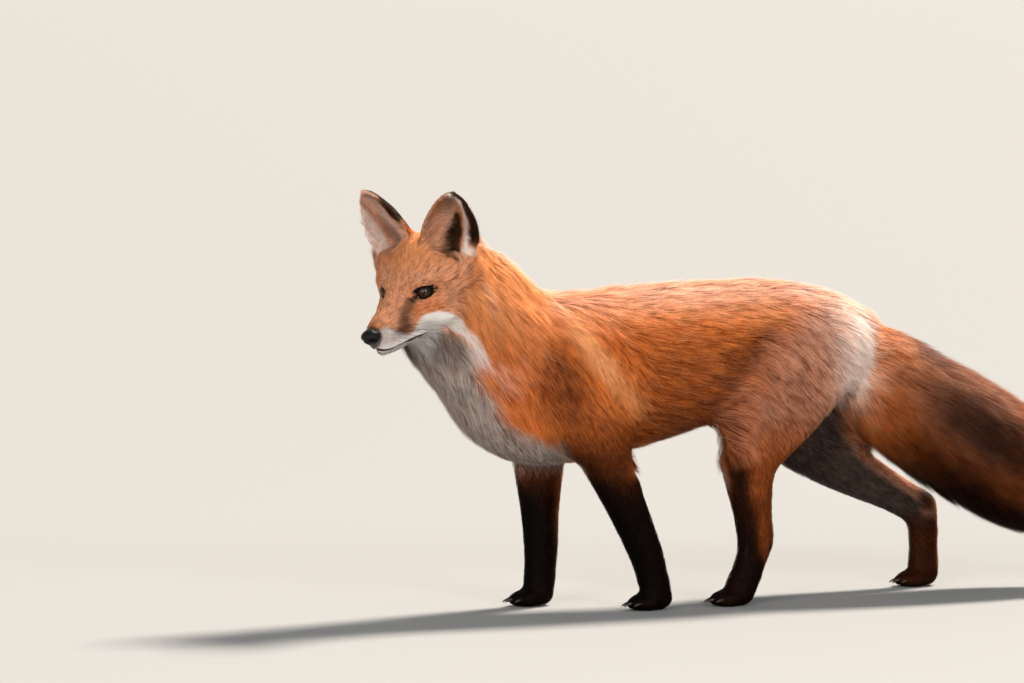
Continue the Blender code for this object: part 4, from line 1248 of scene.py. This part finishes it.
def ribbons(name, chosen):
    """One mesh of pointed ribbons, each on its own small patch of the unwrap."""
    n, levels = len(chosen), len(STATIONS)
    each = 2 * levels - 1
    co = np.empty((n, each, 3))
    normal = np.empty_like(co)
    along = np.empty((n, each))
    uv = np.empty((n, each, 2))
    spin = (hair_random[chosen, 3] - 0.5) * 1.7
    for k in range(levels):
        p, n_up = places[k][chosen], ups[k][chosen]
        way = unit(places[min(k + 1, levels - 1)][chosen] - places[max(k - 1, 0)][chosen])
        side = unit(np.cross(way, n_up))
        face = unit(np.cross(side, way))
        soft = unit(n_up + face * 0.5 + side * (spin * 0.50)[:, None])
        side = side * np.cos(spin * 0.6)[:, None] + face * np.sin(spin * 0.6)[:, None]
        half = side * (hair_width[chosen] * 0.5 * TAPER[k])[:, None]
        spots = ((2 * k, -1), (2 * k + 1, 1)) if k < levels - 1 else ((2 * k, 0),)
        for slot, sign in spots:
            co[:, slot] = p + half * sign
            normal[:, slot] = soft
            along[:, slot] = STATIONS[k]
            uv[:, slot, 0] = root_uv[chosen, 0] + PATCH * 0.5 * sign
            uv[:, slot, 1] = root_uv[chosen, 1] + PATCH * (STATIONS[k] - 0.5)
    pattern = []
    for k in range(levels - 2):
        a, b, c, d = 2 * k, 2 * k + 1, 2 * k + 3, 2 * k + 2
        pattern += [(a, b, c), (a, c, d)]
    pattern.append((each - 3, each - 2, each - 1))
    corner = (np.arange(n)[:, None, None] * each + np.array(pattern)[None]).reshape(-1)
    mesh = bpy.data.meshes.new(name)
    mesh.vertices.add(n * each)
    mesh.vertices.foreach_set("co", co.ravel())
    mesh.loops.add(len(corner))
    mesh.loops.foreach_set("vertex_index", corner)
    mesh.polygons.add(len(corner) // 3)
    mesh.polygons.foreach_set("loop_start", np.arange(0, len(corner), 3))
    all_smooth(mesh)
    mesh.update(calc_edges=True)
    layer = mesh.uv_layers.new(name="OFBake")
    layer.data.foreach_set("uv", uv.reshape(-1, 2)[corner].ravel())
    colour_attribute(mesh, "marks", np.repeat(hair_marks[chosen], each, axis=0))
    colour_attribute(mesh, "tones", np.repeat(hair_tones[chosen], each, axis=0))
    own, of_lock = (np.repeat(v, each) for v in (hair_random[chosen, 2], lock_random[chosen, 3]))
    colour_attribute(mesh, "strand", np.stack([along.ravel(), own, of_lock, np.ones(n * each)], axis=1))
    mesh.normals_split_custom_set_from_vertices(normal.reshape(-1, 3))
    print(name, n, "hairs,", len(corner) // 3, "triangles")
    return new_object(name, mesh)


coats = []
for piece, wanted in PIECES.items():
    slots = [FLESH.index(name) for name in wanted.split()]
    chosen = np.flatnonzero(np.isin(hair_node, slots))
    shares = np.array_split(chosen, max(1, math.ceil(len(chosen) * 3 / PIECE_TRIANGLES)))
    for number, share in enumerate(shares):
        coats.append(ribbons(f"{piece}_{number + 1}", share))
print("coat in all:", sum(len(obj.data.polygons) for obj in coats), "triangles")

# %% [markdown]
# ## The colours of a hair
# One node group turns the masks and a hair's own numbers into a colour: which pelt it belongs to,
# how far along the hair the point lies, and how this hair differs from the next. Skin and coat both use it.

# %% The shared colour group
def srgb(r, g, b):
    """An everyday 0 to 255 colour as the linear values that shaders use."""
    shares = (r / 255, g / 255, b / 255)
    return tuple(v / 12.92 if v <= 10 / 255 else ((v + 0.055) / 1.055) ** 2.4 for v in shares) + (1.0,)


PELT = {
    "mahogany": srgb(98, 36, 4),
    "rust": srgb(164, 68, 9),
    "orange": srgb(236, 124, 34),
    "gold": srgb(255, 190, 126),
    "dusk dark": srgb(138, 72, 40),
    "dusk pale": srgb(252, 184, 130),
    "frost": srgb(222, 170, 142),
    "slate": srgb(104, 56, 33),
    "ash dark": srgb(84, 60, 48),
    "ash pale": srgb(192, 166, 150),
    "snow": srgb(246, 238, 234),
    "cream": srgb(255, 250, 246),
    "soot": srgb(9, 5, 3),
}


def read_attribute(tree, name):
    """The four numbers of a colour attribute."""
    node = tree.nodes.new("ShaderNodeAttribute")
    node.attribute_name = name
    split = tree.nodes.new("ShaderNodeSeparateColor")
    tree.links.new(node.outputs["Color"], split.inputs["Color"])
    return [*split.outputs[:3], node.outputs["Alpha"]]


def feed(tree, socket, value):
    """Joins a socket to another one, or gives it a plain value."""
    if hasattr(value, "is_linked"):
        tree.links.new(value, socket)
    else:
        socket.default_value = value


def blended(tree, share, a, b, how="MIX"):
    """Colour a passing into colour b by a share."""
    node = tree.nodes.new("ShaderNodeMix")
    node.data_type, node.blend_type = "RGBA", how
    for socket, value in ((node.inputs[0], share), (node.inputs[6], a), (node.inputs[7], b)):
        feed(tree, socket, value)
    return node.outputs[2]


def coat_colour_group():
    group = bpy.data.node_groups.new("coat colour", "ShaderNodeTree")
    shade_in = group.interface.new_socket("Depth of shade", in_out="INPUT", socket_type="NodeSocketFloat")
    shade_in.default_value = 0.5
    group.interface.new_socket("Color", in_out="OUTPUT", socket_type="NodeSocketColor")
    group.interface.new_socket("Roughness", in_out="OUTPUT", socket_type="NodeSocketFloat")
    nodes, links = group.nodes, group.links
    given, result = nodes.new("NodeGroupInput"), nodes.new("NodeGroupOutput")

    def calc(operation, a, b=0.0, c=0.0):
        node = nodes.new("ShaderNodeMath")
        node.operation = operation
        for socket, value in zip(node.inputs, (a, b, c)):
            feed(group, socket, value)
        return node.outputs[0]

    def times(a, b):
        return calc("MULTIPLY", a, b)

    def ramped(value, low, high, to_low=0.0, to_high=1.0):
        node = nodes.new("ShaderNodeMapRange")
        node.interpolation_type = "SMOOTHSTEP"
        links.new(value, node.inputs["Value"])
        for key, number in (("From Min", low), ("From Max", high), ("To Min", to_low), ("To Max", to_high)):
            node.inputs[key].default_value = number
        return node.outputs["Result"]

    def mixed(share, a, b):
        return blended(group, share, a, b)

    white, black, grey, frost = read_attribute(group, "marks")
    deep, gold, dusk, tail = read_attribute(group, "tones")
    along, own, of_lock, _ = read_attribute(group, "strand")
    patches = nodes.new("ShaderNodeTexNoise")
    patches.inputs["Scale"].default_value = 22.0
    patches.inputs["Detail"].default_value = 3.0
    drift = calc("MULTIPLY_ADD", patches.outputs["Fac"], 0.6, -0.30)
    variety = calc("ADD", calc("MULTIPLY_ADD", own, 0.60, drift), times(of_lock, 0.40))
    tip = times(ramped(along, 0.35, 1.0), ramped(own, 0.30, 0.80))

    red = mixed(ramped(variety, 0.15, 0.90), PELT["rust"], PELT["orange"])
    red = mixed(times(deep, ramped(variety, 0.1, 1.1, 1.0, 0.45)), red, PELT["mahogany"])
    red = mixed(times(gold, ramped(variety, 0.1, 0.9, 0.45, 0.95)), red, PELT["gold"])
    red = mixed(times(tip, ramped(deep, 0.0, 1.0, 0.40, 0.12)), red, PELT["gold"])
    face = mixed(ramped(variety, 0.05, 0.80), PELT["dusk dark"], PELT["dusk pale"])
    face = mixed(times(tip, 0.34), face, PELT["cream"])
    red = mixed(times(dusk, 0.80), red, face)
    frosted = mixed(ramped(variety, 0.15, 0.85), PELT["slate"], PELT["frost"])
    frosted = mixed(times(tip, 0.42), frosted, PELT["cream"])
    pelt = mixed(times(frost, 0.80), red, frosted)
    ashen = mixed(ramped(variety, 0.15, 0.85), PELT["ash dark"], PELT["ash pale"])
    ashen = mixed(times(tip, 0.55), ashen, PELT["cream"])
    pelt = mixed(grey, pelt, ashen)
    snow = mixed(ramped(variety, 0.0, 0.9), PELT["snow"], PELT["cream"])
    pelt = mixed(ramped(calc("ADD", white, calc("MULTIPLY_ADD", own, 0.3, -0.15)), 0.05, 0.80), pelt, snow)
    light_parts = times(ramped(white, 0.2, 0.7, 1.0, 0.15), ramped(dusk, 0.0, 1.0, 1.0, 0.50))
    root_shade = times(ramped(along, 0.0, 0.60, 0.42, 0.0), light_parts)
    pelt = mixed(root_shade, pelt, PELT["soot"])
    sooty = times(tail, ramped(along, 0.45, 0.95))
    sooty = times(sooty, ramped(variety, 0.30, 0.80, 0.10, 0.60))
    darkest = calc("MAXIMUM", black, sooty)
    edge = calc("ADD", darkest, calc("MULTIPLY_ADD", own, 0.36, -0.18))
    black_share = times(ramped(edge, 0.05, 0.95), ramped(darkest, 0.0, 0.08))
    pelt = mixed(black_share, pelt, PELT["soot"])
    pelt = mixed(times(given.outputs[0], light_parts), pelt, PELT["soot"])
    links.new(pelt, result.inputs["Color"])
    links.new(ramped(own, 0.0, 1.0, 0.48, 0.66), result.inputs["Roughness"])
    return group


COAT_COLOUR = coat_colour_group()


def coat_material(name, shade, glow):
    """The coat's colour on a Principled shader, with a share of light that shines through thin hair."""
    material = bpy.data.materials.new(name)
    material.use_nodes = True
    nodes, links = material.node_tree.nodes, material.node_tree.links
    shader = nodes["Principled BSDF"]
    group = nodes.new("ShaderNodeGroup")
    group.node_tree = COAT_COLOUR
    group.inputs["Depth of shade"].default_value = shade
    links.new(group.outputs["Color"], shader.inputs["Base Color"])
    links.new(group.outputs["Roughness"], shader.inputs["Roughness"])
    shader.inputs["Specular IOR Level"].default_value = 0.07
    if glow:
        through, both = nodes.new("ShaderNodeBsdfTranslucent"), nodes.new("ShaderNodeMixShader")
        links.new(group.outputs["Color"], through.inputs["Color"])
        both.inputs["Fac"].default_value = glow
        links.new(shader.outputs[0], both.inputs[1])
        links.new(through.outputs[0], both.inputs[2])
        links.new(both.outputs[0], nodes["Material Output"].inputs["Surface"])
    return material


hair_material = coat_material("fox hair", shade=0.0, glow=0.28)
skin_material = coat_material("fox skin", shade=0.40, glow=0.0)
skin.data.materials.clear()
skin.data.materials.append(skin_material)
for obj in coats:
    obj.data.materials.append(hair_material)
print("nodes in the coat's colour:", len(COAT_COLOUR.nodes))

# %% [markdown]
# ## Eyes
# The iris is amber-brown with a fine grain and darkens at its edge, and the pupil is an upright oval.
# The pattern needs only the place on the front of the ball, which the mesh carries as an attribute.
# A clear coat on the shader stands for the wet cornea.

# %% Make the eyes
def plain_material(name, colour, roughness):
    material = bpy.data.materials.new(name)
    material.use_nodes = True
    shader = material.node_tree.nodes["Principled BSDF"]
    shader.inputs["Base Color"].default_value = colour
    shader.inputs["Roughness"].default_value = roughness
    return material, shader


def eye_material():
    material, shader = plain_material("eye", (0.1, 0.05, 0.02, 1), 0.25)
    tree = material.node_tree
    radial, slit, _, _ = read_attribute(tree, "gaze")
    ramp = tree.nodes.new("ShaderNodeValToRGB")
    stops = ramp.color_ramp.elements
    stops[0].position, stops[0].color = 0.0, srgb(70, 38, 16)
    stops[1].position, stops[1].color = 1.0, srgb(20, 12, 8)
    for position, colour in ((0.45, (84, 46, 19)), (0.72, (52, 27, 12)), (0.86, (18, 10, 7))):
        stops.new(position).color = srgb(*colour)
    feed(tree, ramp.inputs["Fac"], radial)
    grain = tree.nodes.new("ShaderNodeTexNoise")
    grain.inputs["Scale"].default_value = 900.0
    iris = blended(tree, 0.5, ramp.outputs["Color"], grain.outputs["Color"], "MULTIPLY")
    feed(tree, shader.inputs["Base Color"], blended(tree, slit, iris, srgb(4, 3, 3)))
    shader.inputs["Specular IOR Level"].default_value = 0.1
    shader.inputs["Coat Weight"].default_value = 0.38
    shader.inputs["Coat Roughness"].default_value = 0.03
    return material


def ball(name, radius):
    bm = bmesh.new()
    bmesh.ops.create_icosphere(bm, subdivisions=5, radius=radius)
    return mesh_from(bm, name)


def eye_object(side, material):
    mesh = ball("eye", EYE_RADIUS)
    local = coordinates(mesh)
    bulge = step(np.hypot(local[:, 1], local[:, 2]), 0.0062, 0.0) * (local[:, 0] > 0)
    local[:, 0] += 0.0009 * bulge
    y, z = local[:, 1] / EYE_RADIUS, local[:, 2] / EYE_RADIUS
    radial = np.where(local[:, 0] > 0, np.hypot(y, z) / 0.70, 1.0)
    slit = step(np.hypot(y / 0.24, z / 0.36), 1.12, 0.92) * (local[:, 0] > 0)
    mesh.vertices.foreach_set("co", local.ravel())
    zero = np.zeros(len(local))
    colour_attribute(mesh, "gaze", np.stack([np.clip(radial, 0, 1), slit, zero, zero + 1], axis=1))
    mesh.transform(eye_frame(side))
    all_smooth(mesh)
    mesh.materials.append(material)
    return new_object(SIDE_NAMES[side] + "_eyeball", mesh)


eye_stuff = eye_material()
eyes = {side: eye_object(side, eye_stuff) for side in SIDES}
print("eyeballs:", [eye.name for eye in eyes.values()])

# %% [markdown]
# ## Nose
# The nose leather is broader than high, split by a groove below, with a comma-shaped nostril on each side.
# A fine ball is pressed into that shape with a few smooth functions, and its pebbled surface is a bump.

# %% Make the nose
NOSE_CENTRE, NOSE_NOD = (0.0758, 0, -0.0243), 0.12  # in the head's frame; its tilt is in radians


def nose_object():
    mesh = ball("nose_leather", 1)
    p = coordinates(mesh)
    x, y, z = p.T
    wide = 0.0128 * (1 - 0.28 * step(z, 0.0, -1.0)) * (1 - 0.10 * step(z, 0.3, 1.0))
    shape = np.stack([x * 0.0100, y * wide, z * 0.0098], axis=1)
    shape[:, 0] += 0.0012 * step(z, -0.2, 0.7) * step(x, -0.2, 0.5)
    hole = np.hypot((np.abs(y) - 0.52) / 0.20, (z + 0.02) / 0.22)
    comma = np.hypot((np.abs(y) - 0.82) / 0.26, (z + 0.16 + 0.3 * (np.abs(y) - 0.52)) / 0.085)
    dent = 0.0042 * step(hole, 1.15, 0.35) + 0.0024 * step(comma, 1.1, 0.3)
    groove = 0.0014 * step(np.abs(y), 0.10, 0.02) * step(z, 0.25, -0.2)
    shape -= unit(shape) * ((dent + groove) * (x > 0.05))[:, None]
    mesh.vertices.foreach_set("co", shape.ravel())
    mesh.transform(HEAD @ Matrix.Translation(NOSE_CENTRE) @ Matrix.Rotation(NOSE_NOD, 4, "Y"))
    all_smooth(mesh)
    material, shader = plain_material("nose leather", srgb(7, 5, 5), 0.34)
    nodes, links = material.node_tree.nodes, material.node_tree.links
    pebbles = nodes.new("ShaderNodeTexVoronoi")
    pebbles.inputs["Scale"].default_value = 1500.0
    bump = nodes.new("ShaderNodeBump")
    bump.inputs["Strength"].default_value = 0.35
    bump.inputs["Distance"].default_value = 0.0004
    links.new(pebbles.outputs["Distance"], bump.inputs["Height"])
    links.new(bump.outputs["Normal"], shader.inputs["Normal"])
    shader.inputs["Specular IOR Level"].default_value = 0.16
    mesh.materials.append(material)
    return new_object("nose_leather", mesh)


nose = nose_object()
print("nose leather:", [round(v * 1000, 1) for v in nose.dimensions], "mm")

# %% [markdown]
# ## Whiskers and claws
# Whiskers are stiff tapered hairs in rows on the upper lip. Claws are short dark hooks that leave each toe
# above its pad. Both are thin tubes along a curve, drawn in one helper.

# %% Make whiskers and claws
def tube(bm, path, radii, sides=6):
    """A tapered tube along a path, closed at both ends."""
    rings = []
    for i, (p, r) in enumerate(zip(path, radii)):
        way = (path[min(i + 1, len(path) - 1)] - path[max(i - 1, 0)]).normalized()
        side = way.orthogonal().normalized()
        over = way.cross(side)
        angles = [2 * math.pi * k / sides for k in range(sides)]
        rings.append([bm.verts.new(p + (side * math.cos(a) + over * math.sin(a)) * r) for a in angles])
    for near, far in zip(rings, rings[1:]):
        for k in range(sides):
            bm.faces.new((near[k], near[(k + 1) % sides], far[(k + 1) % sides], far[k]))
    bm.faces.new(rings[0][::-1])
    bm.faces.new(rings[-1])


def finished(bm, name, material):
    bmesh.ops.recalc_face_normals(bm, faces=bm.faces)
    mesh = mesh_from(bm, name)
    all_smooth(mesh)
    mesh.materials.append(material)
    return new_object(name, mesh)


skin_bvh = BVHTree.FromPolygons([Vector(p) for p in points], tris.tolist())
WHISKER_STOPS = (0, 0.2, 0.4, 0.6, 0.8, 1)
WHISKER_ROWS, WHISKERS_IN_ROW, WHISKER_RADIUS = 3, 4, 0.00019


def whiskers():
    bm = bmesh.new()
    for side in SIDES:
        for row in range(WHISKER_ROWS):
            for k in range(WHISKERS_IN_ROW):
                f, u = 0.060 - 0.009 * k - 0.002 * row, -0.0285 - 0.0034 * row
                start = HEAD @ Vector((f, 0.030 * -side, u))
                inward = HEAD.to_3x3() @ Vector((0, side, 0))
                hit = skin_bvh.ray_cast(start, inward)[0] or start
                reach = 0.030 + 0.011 * k + rng.uniform(-0.004, 0.004)
                out = HEAD.to_3x3() @ Vector((-0.45 - 0.1 * k, 0.86 * -side, -0.10 - 0.18 * row))
                sag = Vector((0, 0, -1)) * rng.uniform(0.15, 0.35) - HEAD.to_3x3() @ Vector((0.35, 0, 0))
                path = [hit + out * (reach * t) + sag * (reach * t * t * 0.5) for t in WHISKER_STOPS]
                tube(bm, path, [WHISKER_RADIUS * (1 - 0.85 * t) for t in WHISKER_STOPS], 4)
    material, _ = plain_material("whisker", srgb(40, 32, 28), 0.35)
    return finished(bm, "whiskers", material)


PAWS = ((-0.026, -0.054), (-0.137, 0.050), (0.086, -0.054), (0.405, 0.057))  # ankles, from the fox's origin
# how far ahead and outward of the ankle each toe is, its turn, and its length
TOES = (
    (0.019, -0.0145, -0.22, 0.0135),
    (0.027, -0.0052, -0.06, 0.0150),
    (0.027, 0.0052, 0.06, 0.0150),
    (0.019, 0.0145, 0.22, 0.0135),
)
CLAW_STOPS, CLAW_RADII = (0, 0.3, 0.6, 0.85, 1.0), (0.0019, 0.0017, 0.0014, 0.0009, 0.0003)
CLAW_LENGTH, CLAW_DROP, CLAW_HEIGHT = 0.0115, 0.0036, 0.0092
CLAW_SUNK = 0.006  # how much of it starts inside the toe


def claws():
    bm = bmesh.new()
    for x, y in PAWS:
        for ahead, outward, turn, toe in TOES:
            heading = Vector((-math.cos(turn), -math.sin(turn), 0))
            start = Vector((x - ahead, y + outward, CLAW_HEIGHT)) + heading * (toe - CLAW_SUNK)
            start += Vector(FOX_ORIGIN)
            drops = [Vector((0, 0, CLAW_DROP * t**2.2)) for t in CLAW_STOPS]
            path = [start + heading * (CLAW_LENGTH * t) - drop for t, drop in zip(CLAW_STOPS, drops)]
            tube(bm, path, CLAW_RADII, 8)
    material, _ = plain_material("claw", srgb(44, 36, 30), 0.35)
    return finished(bm, "claws", material)


whisker_piece, claw_piece = whiskers(), claws()
print("whiskers and claws:", len(whisker_piece.data.polygons), len(claw_piece.data.polygons), "faces")

# %% [markdown]
# ## Studio
# A plain pale floor, a strong warm light from high behind that edges the coat, a broad even one and a small
# soft lamp from the front, and a long lens far away, low over the ground.

# %% Floor, lights and camera
TURN = math.radians(25)
RIGHTWARD = Vector((math.cos(TURN), -math.sin(TURN), 0))
AHEAD = Vector((math.sin(TURN), math.cos(TURN), 0))
UP = Vector((0, 0, 1))
FLOOR_HALF = 2000.0
LENS_MM, LENS_DIP = 200.0, math.radians(3.475)
LENS_RIGHT, LENS_BACK, LENS_UP = -0.178, 6.95, 0.745  # of the camera, from the fox's origin


def aimed(name, light, place, target):
    obj = new_object(name, light)
    obj.location = place
    obj.rotation_euler = (Vector(target) - Vector(place)).to_track_quat("-Z", "Y").to_euler()
    return obj


def wide_light(name, towards, strength, angle, colour):
    """Even light from one direction, as from a very large soft box far away."""
    light = bpy.data.lights.new(name, "SUN")
    light.energy, light.angle, light.color = strength, math.radians(angle), colour
    return aimed(name, light, Vector(towards) * 5, (0, 0, 0))


def small_light(name, place, target, size, power, colour):
    light = bpy.data.lights.new(name, "AREA")
    light.shape, light.size, light.energy, light.color = "DISK", size, power, colour
    return aimed(name, light, place, target)


def studio():
    mesh = bpy.data.meshes.new("floor")
    s = FLOOR_HALF
    mesh.from_pydata([(-s, -s, 0), (s, -s, 0), (s, s, 0), (-s, s, 0)], [], [(0, 1, 2, 3)])
    floor = new_object("floor", mesh)
    material, _ = plain_material("pale floor", (0.222, 0.219, 0.213, 1), 0.9)
    mesh.materials.append(material)
    behind = AHEAD * 0.85 + RIGHTWARD * 0.75 + UP * 1.45
    in_front = RIGHTWARD * -0.40 - AHEAD + UP * 0.42
    lamp_place = AHEAD * -3.6 + RIGHTWARD * 2.0 + UP * 2.0
    wide_light("back light", behind, strength=9.8, angle=12, colour=(1.0, 0.92, 0.82))
    wide_light("side light", in_front, strength=1.85, angle=24, colour=(1.0, 0.98, 0.95))
    small_light("front light", lamp_place, (-0.1, 0, 0.25), size=0.8, power=72, colour=(0.97, 0.98, 1.0))
    world = bpy.data.worlds.new("studio")
    world.use_nodes = True
    sky = world.node_tree.nodes["Background"].inputs
    sky["Color"].default_value = (0.92, 0.94, 0.96, 1)
    sky["Strength"].default_value = 0.52
    bpy.context.scene.world = world


def camera():
    lens = bpy.data.cameras.new("camera")
    lens.sensor_width, lens.lens, lens.clip_end = 36.0, LENS_MM, 5000.0
    obj = new_object("camera", lens)
    obj.location = Vector(FOX_ORIGIN) + RIGHTWARD * LENS_RIGHT - AHEAD * LENS_BACK + UP * LENS_UP
    look = AHEAD - UP * math.tan(LENS_DIP)
    obj.rotation_euler = look.to_track_quat("-Z", "Y").to_euler()
    bpy.context.scene.camera = obj


studio()
camera()
bpy.context.scene.view_settings.view_transform = "Standard"

# %% [markdown]
# ## Attach the pieces
# Each piece rides on the part's one body, and the solids that the pieces stand for are hidden.

# %% Attach the pieces
for obj in [skin, nose, whisker_piece, claw_piece, *eyes.values(), *coats]:
    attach(obj, "root")
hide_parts(*FLESH)
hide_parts("nose")
for side, obj in eyes.items():
    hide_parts(SIDE_NAMES[side] + "_eye")
